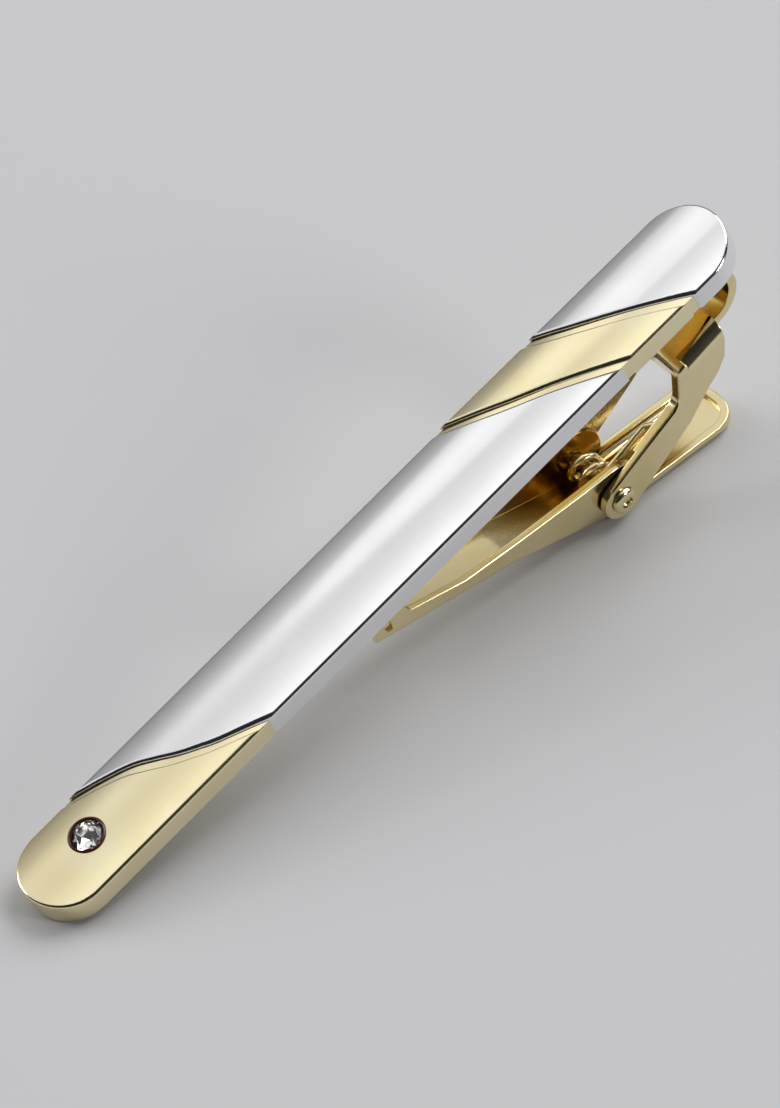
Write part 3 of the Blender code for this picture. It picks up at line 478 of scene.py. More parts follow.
gold_bar = bar_body()
set_down(gold_bar, plated("pale_gold_plate", PALE_GOLD, DEEP_GOLD, BAR_ROUGHNESS))
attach(gold_bar, "bar")
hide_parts("bar_body")

# The long panel
# A cap of plated, silver-coloured sheet over the middle of the bar. It is folded down both sides
# and soldered on, and its front edge follows the wavy seam and stands proud of the gold.
SILVER = (0.89, 0.89, 0.90)
SHADED_SILVER = (0.84, 0.84, 0.85)
SILVER_ROUGHNESS = 0.12


def panel(name, front, back, inside_back):
    """A length of crowned sheet with folded sides and room for the bar's body under it."""
    cap = crowned_slab(name, front, back, BAR_WALL, lift=SEAM_STEP, edge=PROUD_EDGE_RADIUS)
    inside = crowned_slab(
        "inside", across(0, HALF_WIDTH - PANEL_SHEET), inside_back, BAR_WALL - PANEL_SHEET,
        bottom=-OVERRUN, strips=CORE_STRIPS,
    )
    combine(cap, inside, "DIFFERENCE")
    return cap


silver_plate = plated("silver_plate", SILVER, SHADED_SILVER, SILVER_ROUGHNESS)
long_panel = panel(
    "long_silver_panel", seam(WAVE_SEAM, PANEL_GAP), seam(STRIPE_FRONT, -LEDGE_WIDTH - PANEL_GAP),
    across(BAR_LENGTH, HALF_WIDTH - PANEL_SHEET),
)
set_down(long_panel, silver_plate)
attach(long_panel, "bar")
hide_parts("main_panel")

# The end panel
# A cap of the same silver-coloured sheet over the round hinge end, drawn down all round it and
# soldered on. Its front edge follows the stripe's back seam and stands proud of the gold.
end_panel = panel(
    "round_silver_panel", seam(STRIPE_BACK, PANEL_GAP), hinge_end(), hinge_end(PANEL_SHEET)
)
set_down(end_panel, silver_plate)
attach(end_panel, "bar")
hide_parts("end_panel")

# The stone
# A clear round brilliant of cut glass with foil on its lower facets. A ring of brown glue holds it
# in its hole and laps over its edge.
STONE_SIDES = 8
TABLE_SHARE = 0.56
STAR_SHARE = 0.80
STAR_HEIGHT_SHARE = 0.62
LOWER_SHARE = 0.50
LOWER_DEPTH_SHARE = 0.85
STONE_IOR = 1.6
GLASS_TINT = (0.97, 0.98, 1.0)
HAZE_SCALE = 1500
HAZE_ROUGHNESS = 0.04
FOIL_SHADES = ((0.78, 0.76, 0.73), (0.98, 0.96, 0.93))
FOIL_ROUGHNESS = 0.12
CREASE_SCALE = 1800
# The glue's outline: shares of the stone's radius, and heights over the bar's top
GLUE_SHARES = (
    (1.04, -0.30), (1.04, -0.04), (0.99, 0.02), (0.93, 0.065), (0.91, 0.04), (0.91, -0.30),
)
GLUE_BROWN = (0.10, 0.022, 0.005)
DARK_GLUE_SHARE = 0.4
GLUE_ROUGHNESS = 0.3
LUMP_SCALE = 1300


def cut_stone():
    """The facets are the flats between the stone's rings of corners and its point."""
    girdle_foot = -STONE_CROWN - STONE_GIRDLE
    # Each ring: its share of the radius, its height, its corners and its turn in sides
    rings = (
        (TABLE_SHARE, 0, STONE_SIDES, 0.0),
        (STAR_SHARE, -STONE_CROWN * (1 - STAR_HEIGHT_SHARE), STONE_SIDES, 0.5),
        (1.0, -STONE_CROWN, 2 * STONE_SIDES, 0.0),
        (1.0, girdle_foot, 2 * STONE_SIDES, 0.0),
        (LOWER_SHARE, girdle_foot - STONE_PAVILION * LOWER_DEPTH_SHARE, STONE_SIDES, 0.5),
    )
    shape = bmesh.new()
    for share, height, sides, turn in rings:
        for side in range(sides):
            angle = math.tau * (side + turn) / sides
            out = share * STONE_RADIUS
            shape.verts.new((out * math.cos(angle), out * math.sin(angle), height))
    shape.verts.new((0, 0, girdle_foot - STONE_PAVILION))
    hull = bmesh.ops.convex_hull(shape, input=shape.verts)
    bmesh.ops.delete(shape, geom=hull["geom_interior"] + hull["geom_unused"], context="VERTS")
    for face in shape.faces:
        face.material_index = int(face.calc_center_median().z < girdle_foot)
    top = BAR_WALL + crown_at(STONE_PLACE.y) + STONE_RISE
    bmesh.ops.translate(shape, verts=shape.verts, vec=(*STONE_PLACE, top))
    return new_piece("stone", shape)


def cut_glass():
    material, nodes, link, shader = new_material("cut_glass")
    shader.inputs["IOR"].default_value = STONE_IOR
    shader.inputs["Transmission Weight"].default_value = 1.0
    shader.inputs["Base Color"].default_value = (*GLASS_TINT, 1)
    place = nodes.new("ShaderNodeTexCoord").outputs["Object"]
    haze = mottled(nodes, link, place, HAZE_SCALE)
    link(fitted(nodes, link, haze, (0, 1), (0, HAZE_ROUGHNESS)), shader.inputs["Roughness"])
    return material


def foil():
    material, nodes, link, shader = new_material("foil")
    shader.inputs["Metallic"].default_value = 1.0
    shader.inputs["Roughness"].default_value = FOIL_ROUGHNESS
    place = nodes.new("ShaderNodeTexCoord").outputs["Object"]
    creases = mottled(nodes, link, place, CREASE_SCALE)
    link(mixed(nodes, link, creases, *FOIL_SHADES), shader.inputs["Base Color"])
    return material


def glue_ring():
    profile = [(share * STONE_RADIUS, height) for share, height in GLUE_SHARES]
    ring = turned("glue_ring", profile, closed=True)
    top = BAR_WALL + crown_at(STONE_PLACE.y)
    ring.data.transform(Matrix.Translation((*STONE_PLACE, top)))
    return ring


def brown_glue():
    material, nodes, link, shader = new_material("brown_glue")
    shader.inputs["Roughness"].default_value = GLUE_ROUGHNESS
    place = nodes.new("ShaderNodeTexCoord").outputs["Object"]
    lumps = mottled(nodes, link, place, LUMP_SCALE)
    dark_brown = tuple(DARK_GLUE_SHARE * level for level in GLUE_BROWN)
    link(mixed(nodes, link, lumps, GLUE_BROWN, dark_brown), shader.inputs["Base Color"])
    return material


stone = cut_stone()
set_down(stone, cut_glass(), smooth=False)
stone.data.materials.append(foil())
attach(stone, "bar")
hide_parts("crystal")
glue = glue_ring()
set_down(glue, brown_glue())
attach(glue, "bar")
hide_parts("crystal")

# The bracket
# A strip of gold-plated sheet whose foot is soldered to the bar's back. Its end is rolled into
# a hook that holds the link's head, and shade is painted in brown on the inside of the hook.
BRACKET_SHEET = 0.65
BRACKET_BROKEN_EDGE = 0.07
BRACKET_HALF_WIDTH = 1.5
BRACKET_FOOT_X = BAR_LENGTH - 10.8
SOLDER_GAP = 0.04
HOOK_CENTRE_X = BAR_LENGTH - 3.7
HOOK_LEG_X = BAR_LENGTH - 6.4
HOOK_PLAY = 0.22
HOOK_SEGMENTS = 28
LINK_REACH = 10.9
LINK_SHEET = 0.55
SIDEWAYS = 0.5
# Painted shade: the bar's plating made deeper and more saturated for the darker-set fittings
SHADED_FITTING_GOLD = (0.85, 0.74, 0.45)
DEEP_SHADED_FITTING_GOLD = (0.80, 0.67, 0.36)
# Painted shade: a dark brown for the recesses inside the hook's roll and the jaw's channel
PAINTED_SHADE_BROWN = (0.56, 0.36, 0.08)
SHEET_ROUGHNESS = 0.17
# The link's outer line from its head down, as shares of its reach behind the rivet and of the
# rivet's depth below the bar
LINK_WEB_SHARES = ((1.000, 0.344), (0.642, 0.389), (0.560, 0.670))


def arc(centre, radius, start_deg, end_deg, segments):
    """Places along a part of a circle."""
    angles = [
        math.radians(start_deg + (end_deg - start_deg) * step / segments)
        for step in range(segments + 1)
    ]
    return [centre + radius * Vector((math.cos(angle), math.sin(angle))) for angle in angles]


def offset_path(path, distance):
    """The path moved to its left by a distance, with its corners mitred."""
    moved = []
    for k, place in enumerate(path):
        first = place - path[k - 1] if k else path[1] - place
        second = path[k + 1] - place if k < len(path) - 1 else first
        first, second = first.normalized(), second.normalized()
        normal = Vector((-first.y - second.y, first.x + second.x)).normalized()
        moved.append(place + normal * (distance / normal.dot(Vector((-first.y, first.x)))))
    return moved


def side_prism(name, outline, half_width):
    """An outline in X and Z, as seen from the side, spread evenly to both sides."""
    piece = prism(name, outline, -half_width, half_width)
    piece.data.transform(Matrix.Rotation(math.pi / 2, 4, "X"))
    return piece


def link_point(x_share, depth_share):
    """A place on the link, by its shares of the link's reach and of the rivet's depth."""
    return Vector((PIVOT.x + x_share * LINK_REACH, PIVOT.z * depth_share))


def height_on(start, end, x):
    """The height at a place along the bar of the straight line through two points."""
    return start.y + (end.y - start.y) * (x - start.x) / (end.x - start.x)


def hook_arc():
    """The middle of the rolled end, and the radius of the strip's middle line round it."""
    foot = -SOLDER_GAP - BRACKET_SHEET / 2
    head, bend = (link_point(*shares) for shares in LINK_WEB_SHARES[:2])
    leg = height_on(head, bend, HOOK_LEG_X) - LINK_SHEET - HOOK_PLAY - BRACKET_SHEET / 2
    return Vector((HOOK_CENTRE_X, (foot + leg) / 2)), (foot - leg) / 2


def hook_strip():
    """The strip with its rolled end, and painted shade as the material for the inside of the roll.
    """
    half = BRACKET_SHEET / 2
    centre, radius = hook_arc()
    path = [Vector((BRACKET_FOOT_X, centre.y + radius))]
    path += arc(centre, radius, 90, -90, HOOK_SEGMENTS)
    path.append(Vector((HOOK_LEG_X, centre.y - radius)))
    outline = offset_path(path, half) + list(reversed(offset_path(path, -half)))
    strip = side_prism("hook_strip", outline, BRACKET_HALF_WIDTH)
    for face in strip.data.polygons:
        past_centre = max(0, face.center.x - centre.x)
        inside = math.hypot(past_centre, face.center.z - centre.y) < radius
        # The faces inside the roll take the painted shade
        face.material_index = int(inside and abs(face.normal.y) < SIDEWAYS)
    return strip


# The deepened gold as painted shade, for the bracket, the link and the rivet
shaded_fitting_gold = plated("shaded_fitting_gold_plate", SHADED_FITTING_GOLD, DEEP_SHADED_FITTING_GOLD, SHEET_ROUGHNESS)
# Painted shade in brown for the inside of the hook
painted_shade_gold = plated("painted_shade_gold_plate", PAINTED_SHADE_BROWN, PAINTED_SHADE_BROWN, SHEET_ROUGHNESS)
bracket = hook_strip()
set_down(bracket, shaded_fitting_gold, BRACKET_BROKEN_EDGE)
bracket.data.materials.append(painted_shade_gold)
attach(bracket, "bar")
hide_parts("bracket")

# The link
# A fork stamped and folded from gold-plated sheet. Its head is held in the hook, a window is cut
# behind the spring, and its two ears carry the rivet.
LINK_HALF_WIDTH = 2.85
STAMPED_BROKEN_EDGE = 0.06
HEAD_BEND = 1.15
ARM_BEND = 0.25
LINK_PROFILE = 1.0
LINK_EAR = 1.4
LINK_MARGIN = 0.75
LINK_CHEEK_SHARES = (
    (0.569, 0.911), (0.761, 0.767), (0.844, 0.722), (0.927, 0.633), (0.972, 0.500),
)
WINDOW_SHARE = 0.640
THROAT_GAP = 0.20
THROAT_RELIEF = 0.03
JAW_EAR = 2.1
RIVET_RADIUS = 0.50
RIVET_PLAY = 0.05
BEND_SEGMENTS = 8
EAR_SEGMENTS = 28
BEND_ROOM = 0.45


def rounded_path(points, radius):
    """The path with an arc at each of its inner corners."""
    path = [points[0]]
    for before, corner, after in zip(points, points[1:], points[2:]):
        inward, outward = (before - corner).normalized(), (after - corner).normalized()
        half_angle = inward.angle(outward) / 2
        room = BEND_ROOM * min((before - corner).length, (after - corner).length)
        length = min(radius / math.tan(half_angle), room)
        start = corner + inward * length
        centre = corner + (inward + outward).normalized() * (length / math.cos(half_angle))
        sweep = (start - centre).angle_signed(corner + outward * length - centre)
        for step in range(BEND_SEGMENTS + 1):
            arm = start - centre
            arm.rotate(Matrix.Rotation(-sweep * step / BEND_SEGMENTS, 2))
            path.append(centre + arm)
    return path + [points[-1]]


def fold_edges(piece, path, radius):
    """Rounds the long edges where a sheet is folded along a path of the side view."""
    shape = shape_of(piece)
    folded = []
    for edge in shape.edges:
        ends = [vert.co.xz for vert in edge.verts]
        along = (ends[0] - ends[1]).length > ON_LINE and all(lies_on(end, path) for end in ends)
        if along and edge.calc_face_angle(0) > math.radians(FOLD_DEG):
            folded.append(edge)
    round_edges(shape, folded, radius, BEND_SEGMENTS)
    put_back(shape, piece)


def tangent_deg(place, radius, side):
    """Where on a circle round the rivet the straight line to a place leaves it."""
    away = place - PIVOT.xz
    return math.degrees(math.atan2(away.y, away.x) + side * math.acos(radius / away.length))


def rivet_hole(half_width):
    """What is cut out of a piece so that the rivet turns in it."""
    radius = RIVET_RADIUS + RIVET_PLAY
    depth = half_width + OVERRUN
    hole = turned("rivet_hole", [(0, depth), (radius, depth), (radius, -depth), (0, -depth)])
    hole.data.transform(Matrix.Translation(PIVOT) @ Matrix.Rotation(math.pi / 2, 4, "X"))
    return hole


def link_web():
    """The link's outer line, from its head down to its ear."""
    points = [link_point(*shares) for shares in LINK_WEB_SHARES]
    leaves = tangent_deg(points[-1], LINK_EAR, 1)
    points.append(arc(PIVOT.xz, LINK_EAR, leaves, leaves, 1)[0])
    return rounded_path(points, LINK_PROFILE)


def off_head(web):
    """What the rounding of the head takes off both of its long edges."""
    flat_half = LINK_HALF_WIDTH - HEAD_BEND
    outer = LINK_HALF_WIDTH + OVERRUN
    near = arc(Vector((flat_half, -HEAD_BEND)), HEAD_BEND, 90, 0, BEND_SEGMENTS)
    near = [Vector((flat_half, OVERRUN / 2))] + near
    near += [Vector((outer, -HEAD_BEND)), Vector((outer, OVERRUN))]
    far = [Vector((-place.x, place.y)) for place in reversed(near)]
    along = web[0] - web[1]
    cutter = prism("off_head", near + far, 0, along.length + OVERRUN)
    along.normalize()
    # Its length goes along the head, and its width across the bar
    cutter.data.transform(Matrix((
        (0, -along.y, along.x, web[1].x),
        (1, 0, 0, 0),
        (0, along.x, along.y, web[1].y),
        (0, 0, 0, 1),
    )))
    return cutter


def fork():
    """The link's side view spread to its width, rounded, and hollowed to open sheet."""
    web = link_web()
    cheek = [link_point(*shares) for shares in LINK_CHEEK_SHARES]
    top_deg = tangent_deg(link_point(*LINK_WEB_SHARES[-1]), LINK_EAR, 1)
    foot_deg = tangent_deg(cheek[0], LINK_EAR, -1) + 360
    ear = arc(PIVOT.xz, LINK_EAR, top_deg, foot_deg, EAR_SEGMENTS)
    link = side_prism("fork", web[:-1] + ear + cheek, LINK_HALF_WIDTH)
    fold_edges(link, web, ARM_BEND)
    combine(link, off_head(web), "DIFFERENCE")

    inner = offset_path(web, LINK_SHEET)
    inner[0] = inner[0] + (inner[0] - inner[1]).normalized() * OVERRUN
    inner[-1] = inner[-1] + (inner[-1] - inner[-2]).normalized() * (OVERRUN + LINK_EAR)
    depth = PIVOT.z - LINK_EAR - OVERRUN
    outline = inner + [Vector((inner[-1].x, depth)), Vector((inner[0].x, depth))]
    combine(link, side_prism("inside", outline, LINK_HALF_WIDTH - LINK_SHEET), "DIFFERENCE")

    throat = PIVOT.x + JAW_EAR + THROAT_GAP
    throat_half = LINK_HALF_WIDTH - LINK_SHEET + THROAT_RELIEF
    half = LINK_HALF_WIDTH - LINK_MARGIN
    end = PIVOT.x + WINDOW_SHARE * LINK_REACH
    start = PIVOT.x - LINK_EAR - OVERRUN
    near = [Vector(place) for place in (
        (start, throat_half), (throat, throat_half), (throat, half), (end, half)
    )]
    far = [Vector((place.x, -place.y)) for place in reversed(near)]
    combine(link, prism("window", near + far, depth, 0), "DIFFERENCE")
    combine(link, rivet_hole(LINK_HALF_WIDTH), "DIFFERENCE")
    return link


link = fork()
set_down(link, shaded_fitting_gold, STAMPED_BROKEN_EDGE)
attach(link, "link")
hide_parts("link")

# The rivet
# The gold-plated pin that the jaw turns on. It goes through the link's ears and the jaw's walls,
# and its ends are pressed into domed heads with a dimple.
HEAD_RADIUS = 0.88
HEAD_HEIGHT = 0.32
HEAD_GAP = 0.05
DIMPLE_SHARE = 0.55
DIMPLE_FLOOR_SHARE = 0.40
DIMPLE_DEPTH_SHARE = 0.55
HEAD_STEPS = 20


def rivet_pin():
    """The pin with both heads, turned about its axis and laid across the bar."""
    face = LINK_HALF_WIDTH + HEAD_GAP
    head = []
    for step in range(HEAD_STEPS + 1):
        share = step / HEAD_STEPS
        fall = max(0, (share - DIMPLE_SHARE) / (1 - DIMPLE_SHARE))
        rise = math.sqrt(1 - fall**2) if share > DIMPLE_FLOOR_SHARE else 1 - DIMPLE_DEPTH_SHARE
        head.append((HEAD_RADIUS * share, face + HEAD_HEIGHT * rise))
    head += [(HEAD_RADIUS, face), (RIVET_RADIUS, face)]
    pin = turned("rivet_pin", head + [(radius, -height) for radius, height in reversed(head)])
    pin.data.transform(Matrix.Translation(PIVOT) @ Matrix.Rotation(math.pi / 2, 4, "X"))
    return pin


rivet = rivet_pin()
set_down(rivet, shaded_fitting_gold)
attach(rivet, "link")
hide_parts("rivet")

# The jaw
# A channel folded from gold-plated sheet, with teeth cut at its tip and a tray-shaped tail to
# press on. The rivet goes through its walls. Shade is painted in brown on its plating inside
# the channel and round the pivot.
JAW_REACH = 17.4
TAIL_REACH = 9.4
JAW_HALF_WIDTH = 2.2
JAW_TIP_HALF_WIDTH = 1.9
JAW_SHEET = 0.50
JAW_BEND = 0.50
JAW_PROFILE = 4.0
JAW_TIP_GAP = 0.06
JAW_EAR_START_DEG = 85.0
JAW_BELLY_SHARES = ((1.000, 0.317), (0.448, 0.761))
JAW_HEEL_SHARE = 0.075
TIP_FLOOR_SHARE = 1.1
JAW_WALL = 3.0
JAW_WALL_SHARES = ((0.839, 0.35), (0.615, 0.26), (0.379, 0.54), (0.126, 1.02))
TAIL_RIM = 0.85
TAIL_CORNER = 1.8
TOOTH_COUNT = 2
TOOTH_RUN_SHARE = 0.178
TOOTH_PEAK_SHARES = (0.00, 0.42)
TOOTH_VALLEY_SHARES = (0.60, 0.85)
TOOTH_DEPTH_SHARE = 1.10
# Painted shade: full within the first distance from the rivet, gone by the second
PAINTED_SHADE_REACH = (3.5, 8.0)


def table_line(x):
    """The table's height under a place along the bar."""
    return -math.tan(REST_TILT) * x


def jaw_belly():
    """The corners of the jaw's underside, from its tip to the end of its tail."""
    points = [Vector((PIVOT.x - x * JAW_REACH, z * PIVOT.z)) for x, z in JAW_BELLY_SHARES]
    flat = (PIVOT.x - JAW_HEEL_SHARE * JAW_REACH, PIVOT.x + TAIL_REACH)
    return points + [Vector((x, table_line(x))) for x in flat]


def tooth_line():
    """The teeth as seen from the side, with valleys that end just above the jaw's floor."""
    pitch = JAW_REACH * TOOTH_RUN_SHARE / TOOTH_COUNT
    tip = PIVOT.x - JAW_REACH
    floor = height_on(*jaw_belly()[:2], tip) + JAW_SHEET
    valley = -JAW_TIP_GAP + (floor + JAW_TIP_GAP) * TOOTH_DEPTH_SHARE
    line = []
    for tooth in range(TOOTH_COUNT):
        start = tip + tooth * pitch
        line += [Vector((start + share * pitch, -JAW_TIP_GAP)) for share in TOOTH_PEAK_SHARES]
        if tooth < TOOTH_COUNT - 1:
            line += [Vector((start + share * pitch, valley)) for share in TOOTH_VALLEY_SHARES]
    return line


def wall_line():
    """The top edge of the jaw's walls, from the teeth to the ear."""
    belly = jaw_belly()
    line = []
    for ahead_share, height_share in JAW_WALL_SHARES:
        x = PIVOT.x - ahead_share * JAW_REACH
        start = max(k for k, place in enumerate(belly[:-1]) if place.x <= x)
        floor = height_on(belly[start], belly[start + 1], x) + JAW_SHEET
        line.append(Vector((x, floor + height_share * JAW_WALL)))
    return line


def round_tail(piece, end, radius):
    """Rounds the two upright corners at the end of the tail."""
    shape = shape_of(piece)
    corners = [
        edge for edge in shape.edges
        if all(vert.co.x > end - ON_LINE for vert in edge.verts)
        and abs(edge.verts[0].co.y - edge.verts[1].co.y) < ON_LINE
    ]
    round_edges(shape, corners, radius, BEND_SEGMENTS)
    put_back(shape, piece)


def taper_jaw(piece):
    """Narrows the jaw evenly from the rivet to its tip."""
    narrowing = 1 - JAW_TIP_HALF_WIDTH / JAW_HALF_WIDTH
    for vert in piece.data.vertices:
        ahead = max(0, min(1, (PIVOT.x - vert.co.x) / JAW_REACH))
        vert.co.y *= 1 - narrowing * ahead


def toothed_jaw():
    """The jaw's side view spread to its width, rounded, tapered, and hollowed to open sheet."""
    belly = rounded_path(jaw_belly(), JAW_PROFILE)
    rim = table_line(PIVOT.x) + TAIL_RIM
    above_rim = (PIVOT.z - rim) * math.cos(REST_TILT) / JAW_EAR
    ear_end_deg = -math.degrees(math.asin(above_rim) + REST_TILT)
    ear = arc(PIVOT.xz, JAW_EAR, JAW_EAR_START_DEG, ear_end_deg, EAR_SEGMENTS)
    end = PIVOT.x + TAIL_REACH
    rim_end = Vector((end, table_line(end) + TAIL_RIM))
    top = tooth_line() + wall_line() + ear + [rim_end]
    jaw = side_prism("toothed_jaw", top + list(reversed(belly)), JAW_HALF_WIDTH)
    round_tail(jaw, end, TAIL_CORNER)
    fold_edges(jaw, belly, JAW_BEND)

    floor = offset_path(belly, JAW_SHEET)
    inner_end = end - JAW_SHEET
    start = PIVOT.x - JAW_REACH + JAW_SHEET
    tip_floor = height_on(*jaw_belly()[:2], start) + JAW_SHEET * TIP_FLOOR_SHARE
    inside = [Vector((start, tip_floor))]
    inside += [place for place in floor if start < place.x < inner_end]
    inside.append(Vector((inner_end, height_on(floor[-2], floor[-1], inner_end))))
    inside += [Vector((inner_end, OVERRUN)), Vector((start, OVERRUN))]
    cavity = side_prism("inside", inside, JAW_HALF_WIDTH - JAW_SHEET)
    round_tail(cavity, inner_end, TAIL_CORNER - JAW_SHEET)
    for piece in (jaw, cavity):
        taper_jaw(piece)
    combine(jaw, cavity, "DIFFERENCE")
    combine(jaw, rivet_hole(JAW_HALF_WIDTH), "DIFFERENCE")
    return jaw


def paint_channel_shade(material, reach, half_width):
    """Paints shade in brown on the plating inside the channel, full round the pivot and fading
    away.
    """
    nodes, link = material.node_tree.nodes, material.node_tree.links.new
    colour = nodes["Principled BSDF"].inputs["Base Color"]
    plate = colour.links[0].from_socket
    place = nodes.new("ShaderNodeTexCoord").outputs["Object"]
    distance = nodes.new("ShaderNodeVectorMath")
    distance.operation = "DISTANCE"
    distance.inputs[1].default_value = pivot_place
    link(place, distance.inputs[0])
    reach = [length * MM for length in reach]
    near = fitted(nodes, link, distance.outputs["Value"], reach, (1, 0), "SMOOTHSTEP")
    split = nodes.new("ShaderNodeSeparateXYZ")
    link(place, split.inputs["Vector"])
    sideways = worked_out(nodes, link, "ABSOLUTE", split.outputs["Y"])
    within = worked_out(nodes, link, "LESS_THAN", sideways, half_width * MM)
    share = worked_out(nodes, link, "MULTIPLY", near, within)
    link(mixed(nodes, link, share, plate, PAINTED_SHADE_BROWN), colour)


jaw = toothed_jaw()
# The jaw's plating is the deepened gold too, as painted shade
jaw_gold = plated("jaw_gold_plate", SHADED_FITTING_GOLD, DEEP_SHADED_FITTING_GOLD, SHEET_ROUGHNESS)
# Painted shade inside the jaw's channel and round the pivot
paint_channel_shade(jaw_gold, PAINTED_SHADE_REACH, JAW_HALF_WIDTH - JAW_SHEET / 2)
set_down(jaw, jaw_gold, STAMPED_BROKEN_EDGE)
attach(jaw, "jaw")
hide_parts("jaw")

# The spring
# Gold-plated wire wound twice round the rivet. One leg lies on the floor of the jaw's tail and
# the other is bent under an arm of the link, so the wire is two pieces that meet in the coil.
WIRE_RADIUS = 0.25
WIRE_ROUNDING = 5
COIL_RADIUS = 0.92
COIL_PITCH = 1.0
COIL_TURNS = 2
TURN_POINTS = 36
SPRING_SEAT = 0.05
TAIL_LEG_SHARE = 0.72
LINK_LEG_SHARE = 0.40
LEG_HOOK = 0.45
SHARED_TURN_DEG = 40.0
SHARED_WIRE_SHARE = 0.97
WIRE_GOLD = (0.84, 0.76, 0.52)
DEEP_WIRE_GOLD = (0.78, 0.67, 0.42)
WIRE_ROUGHNESS = 0.2


def wire(name, points, radius):
    """Round wire along a line of places."""
    curve = bpy.data.curves.new(name, "CURVE")
    curve.dimensions = "3D"
    curve.bevel_depth = radius
    curve.bevel_resolution = WIRE_ROUNDING
    curve.use_fill_caps = True
    spline = curve.splines.new("POLY")
    spline.points.add(len(points) - 1)
    for place, point in zip(spline.points, points):
        place.co = (*point, 1)
    spline.use_smooth = True
    tube = bpy.data.objects.new(name, curve)
    clip.objects.link(tube)
    shape = bmesh.new()
    shape.from_mesh(finished_mesh(tube))
    bpy.data.objects.remove(tube)
    bmesh.ops.remove_doubles(shape, verts=shape.verts, dist=FINE_WELD)
    return new_piece(name, shape)


def spring_wires():
    """The coil with its leg on the jaw's tail, and the leg under the link's arm."""
    pivot = PIVOT.xz
    tail_x = PIVOT.x + TAIL_LEG_SHARE * TAIL_REACH
    lift = (JAW_SHEET + WIRE_RADIUS + SPRING_SEAT) / math.cos(REST_TILT)
    tail_end = Vector((tail_x, table_line(tail_x) + lift))
    under_web = offset_path(link_web(), LINK_SHEET + WIRE_RADIUS + SPRING_SEAT)
    link_x = PIVOT.x + LINK_LEG_SHARE * LINK_REACH
    link_end = Vector((link_x, height_on(under_web[-2], under_web[-1], link_x)))
    first = tangent_deg(tail_end, COIL_RADIUS, -1)
    last = tangent_deg(link_end, COIL_RADIUS, 1)
    sweep = (last - first) % 360 - 360 * (COIL_TURNS + 1)
    length = COIL_PITCH * abs(sweep) / 360
    steps = round(TURN_POINTS * abs(sweep) / 360)
    coil = []
    for step in range(steps + 1):
        share = step / steps
        place = arc(pivot, COIL_RADIUS, first + sweep * share, 0, 1)[0]
        coil.append(Vector((place.x, length * (0.5 - share), place.y)))
    near = -length / 2
    turn_start = link_end - (link_end - coil[-1].xz).normalized() * LEG_HOOK
    leg = [Vector((turn_start.x, near, turn_start.y))]
    leg.append(Vector((link_end.x, near - LEG_HOOK, link_end.y)))
    side_end = -(LINK_HALF_WIDTH - LINK_SHEET - SPRING_SEAT)
    leg.append(Vector((link_end.x, side_end, link_end.y)))
    shared = round(TURN_POINTS * SHARED_TURN_DEG / 360)
    coil_wire = wire(
        "spring_coil", [Vector((tail_end.x, length / 2, tail_end.y))] + coil, WIRE_RADIUS
    )
    leg_wire = wire("spring_leg", coil[-shared:] + leg, WIRE_RADIUS * SHARED_WIRE_SHARE)
    return coil_wire, leg_wire


wire_gold = plated("wire_gold_plate", WIRE_GOLD, DEEP_WIRE_GOLD, WIRE_ROUGHNESS)
spring_coil, spring_leg = spring_wires()
for spring_wire, body in ((spring_coil, "jaw"), (spring_leg, "link")):
    set_down(spring_wire, wire_gold)
    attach(spring_wire, body)
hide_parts("spring")

# The table
# A flat top in plain matt grey, wide enough to fill every view. The clip lies loose on it, on
# the bar's tip and on the jaw's tail.
FLOOR_SIZE = 4.0
FLOOR_GREY = (0.57, 0.57, 0.585)
FLOOR_ROUGHNESS = 0.9
FLOOR_SHEEN = 0.1


def matt_grey():
    material, _, _, shader = new_material("matt_grey")
    shader.inputs["Base Color"].default_value = (*FLOOR_GREY, 1)
    shader.inputs["Roughness"].default_value = FLOOR_ROUGHNESS
    shader.inputs["Specular IOR Level"].default_value = FLOOR_SHEEN
    return material


floor_shape = bmesh.new()
bmesh.ops.create_grid(floor_shape, x_segments=1, y_segments=1, size=FLOOR_SIZE / 2)
floor = new_piece("floor", floor_shape)
floor.data.materials.append(matt_grey())

# The light
# A tent of white cloth, brightest overhead, with dark openings low at the hinge end, at the
# stone's end and on the near side. Three large soft lamps stand round it, and a small weak one
# shines along the bar's crown.
TENT_LEVELS = (
    # height, from 0 at the table's level to 1 straight overhead, and level
    (0.00, 0.16), (0.42, 0.25), (0.50, 0.36), (0.575, 0.45), (0.65, 0.59), (0.715, 0.76),
    (0.777, 0.82), (0.832, 0.79), (0.88, 0.77), (0.92, 0.80), (0.95, 0.87), (0.975, 0.96),
    (1.00, 1.20),
)
TENT_STRENGTH = 2.0
DARK_SIDES = (
    # direction, how nearly a ray points that way where the edge starts and ends, level
    ((0.707, 0.0, -0.707), (0.00, 0.155), 0.10),
    ((-0.925, -0.380, 0.0), (0.28, 0.45), 0.03),
    ((-0.340, -0.940, 0.0), (0.05, 0.22), 0.02),
)
SOFT_LAMPS = (
    # name, direction, distance, size, power
    ("back_lamp", (-0.47, 0.79, 0.40), 1.40, 0.85, 7.6),
    ("right_lamp", (0.74, 0.05, 0.67), 1.40, 1.20, 13.0),
    ("front_lamp", (0.42, -0.80, 0.42), 1.40, 0.45, 5.5),
    ("crown_lamp", (0.172, 0.597, 0.784), 0.222, 0.115, 0.0080),
)


def tent_grey(level):
    return 3 * (level / TENT_STRENGTH,)


def level_ramp(nodes, link, height, levels):
    """Grey that follows the levels smoothly from height to height."""
    ramp = nodes.new("ShaderNodeValToRGB")
    ramp.color_ramp.interpolation = "CARDINAL"
    marks = ramp.color_ramp.elements
    for place, _ in levels[1:-1]:
        marks.new(place)
    for mark, (place, level) in zip(marks, levels):
        mark.position = place
        mark.color = (*tent_grey(level), 1)
    link(height, ramp.inputs["Fac"])
    return ramp.outputs["Color"]


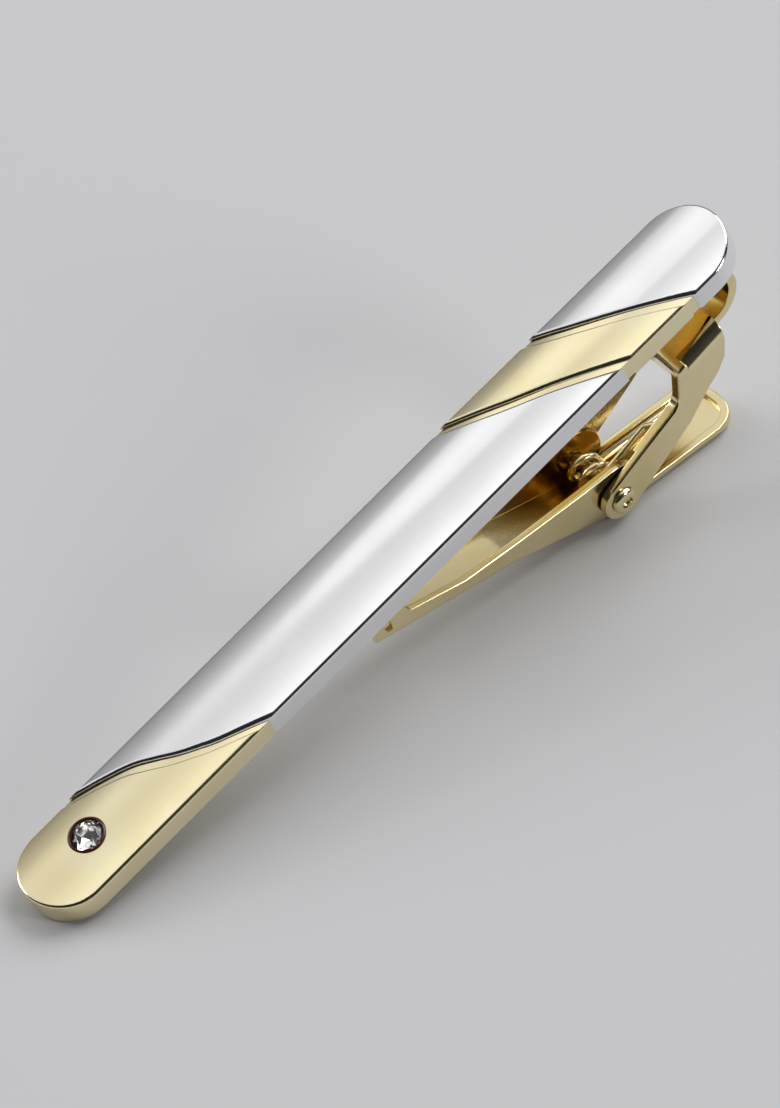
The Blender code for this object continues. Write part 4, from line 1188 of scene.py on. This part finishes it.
def tent():
    world = bpy.data.worlds.new("tent")
    bpy.context.scene.world = world
    world.use_nodes = True
    nodes, link = world.node_tree.nodes, world.node_tree.links.new
    direction = nodes.new("ShaderNodeTexCoord").outputs["Generated"]
    split = nodes.new("ShaderNodeSeparateXYZ")
    link(direction, split.inputs["Vector"])
    cloth = level_ramp(nodes, link, split.outputs["Z"], TENT_LEVELS)
    for side, edge, level in DARK_SIDES:
        towards = nodes.new("ShaderNodeVectorMath")
        towards.operation = "DOT_PRODUCT"
        towards.inputs[1].default_value = side
        link(direction, towards.inputs[0])
        dark = fitted(nodes, link, towards.outputs["Value"], edge, course="SMOOTHSTEP")
        cloth = mixed(nodes, link, dark, cloth, tent_grey(level))
    link(cloth, nodes["Background"].inputs["Color"])
    nodes["Background"].inputs["Strength"].default_value = TENT_STRENGTH


def soft_lamp(name, direction, distance, size, power):
    """A round lamp that faces the middle of the table."""
    lamp = bpy.data.lights.new(name, "AREA")
    lamp.shape = "DISK"
    lamp.size = size
    lamp.energy = power
    light = bpy.data.objects.new(name, lamp)
    bpy.context.scene.collection.objects.link(light)
    towards = Vector(direction).normalized()
    light.location = towards * distance
    light.rotation_euler = towards.to_track_quat("Z", "Y").to_euler()


tent()
for settings in SOFT_LAMPS:
    soft_lamp(*settings)

# The camera
# It looks down on the clip from its near side with a long lens. Its three axes and the point at
# the middle of the picture are as worked out from the bar's outline.
CAMERA_RIGHT = Vector((0.75455, -0.64280, -0.13057))
CAMERA_UP = Vector((0.56255, 0.53100, 0.63409))
CAMERA_BACK = Vector((-0.33822, -0.55190, 0.76228))
PICTURE_MIDDLE = Vector((0.000415, -0.000706, 0.008661))
CAMERA_DISTANCE = 0.60
PICTURE_HEIGHT = 0.06556
SENSOR = 36.0

lens = bpy.data.cameras.new("camera")
lens.sensor_width = SENSOR
lens.lens = SENSOR * CAMERA_DISTANCE / PICTURE_HEIGHT
camera = bpy.data.objects.new("camera", lens)
bpy.context.scene.collection.objects.link(camera)
camera_axes = Matrix((CAMERA_RIGHT, CAMERA_UP, CAMERA_BACK)).transposed()
camera.matrix_world = Matrix.LocRotScale(
    PICTURE_MIDDLE + CAMERA_BACK * CAMERA_DISTANCE, camera_axes.to_quaternion(), None
)
bpy.context.scene.camera = camera
bpy.context.scene.view_settings.view_transform = "Standard"
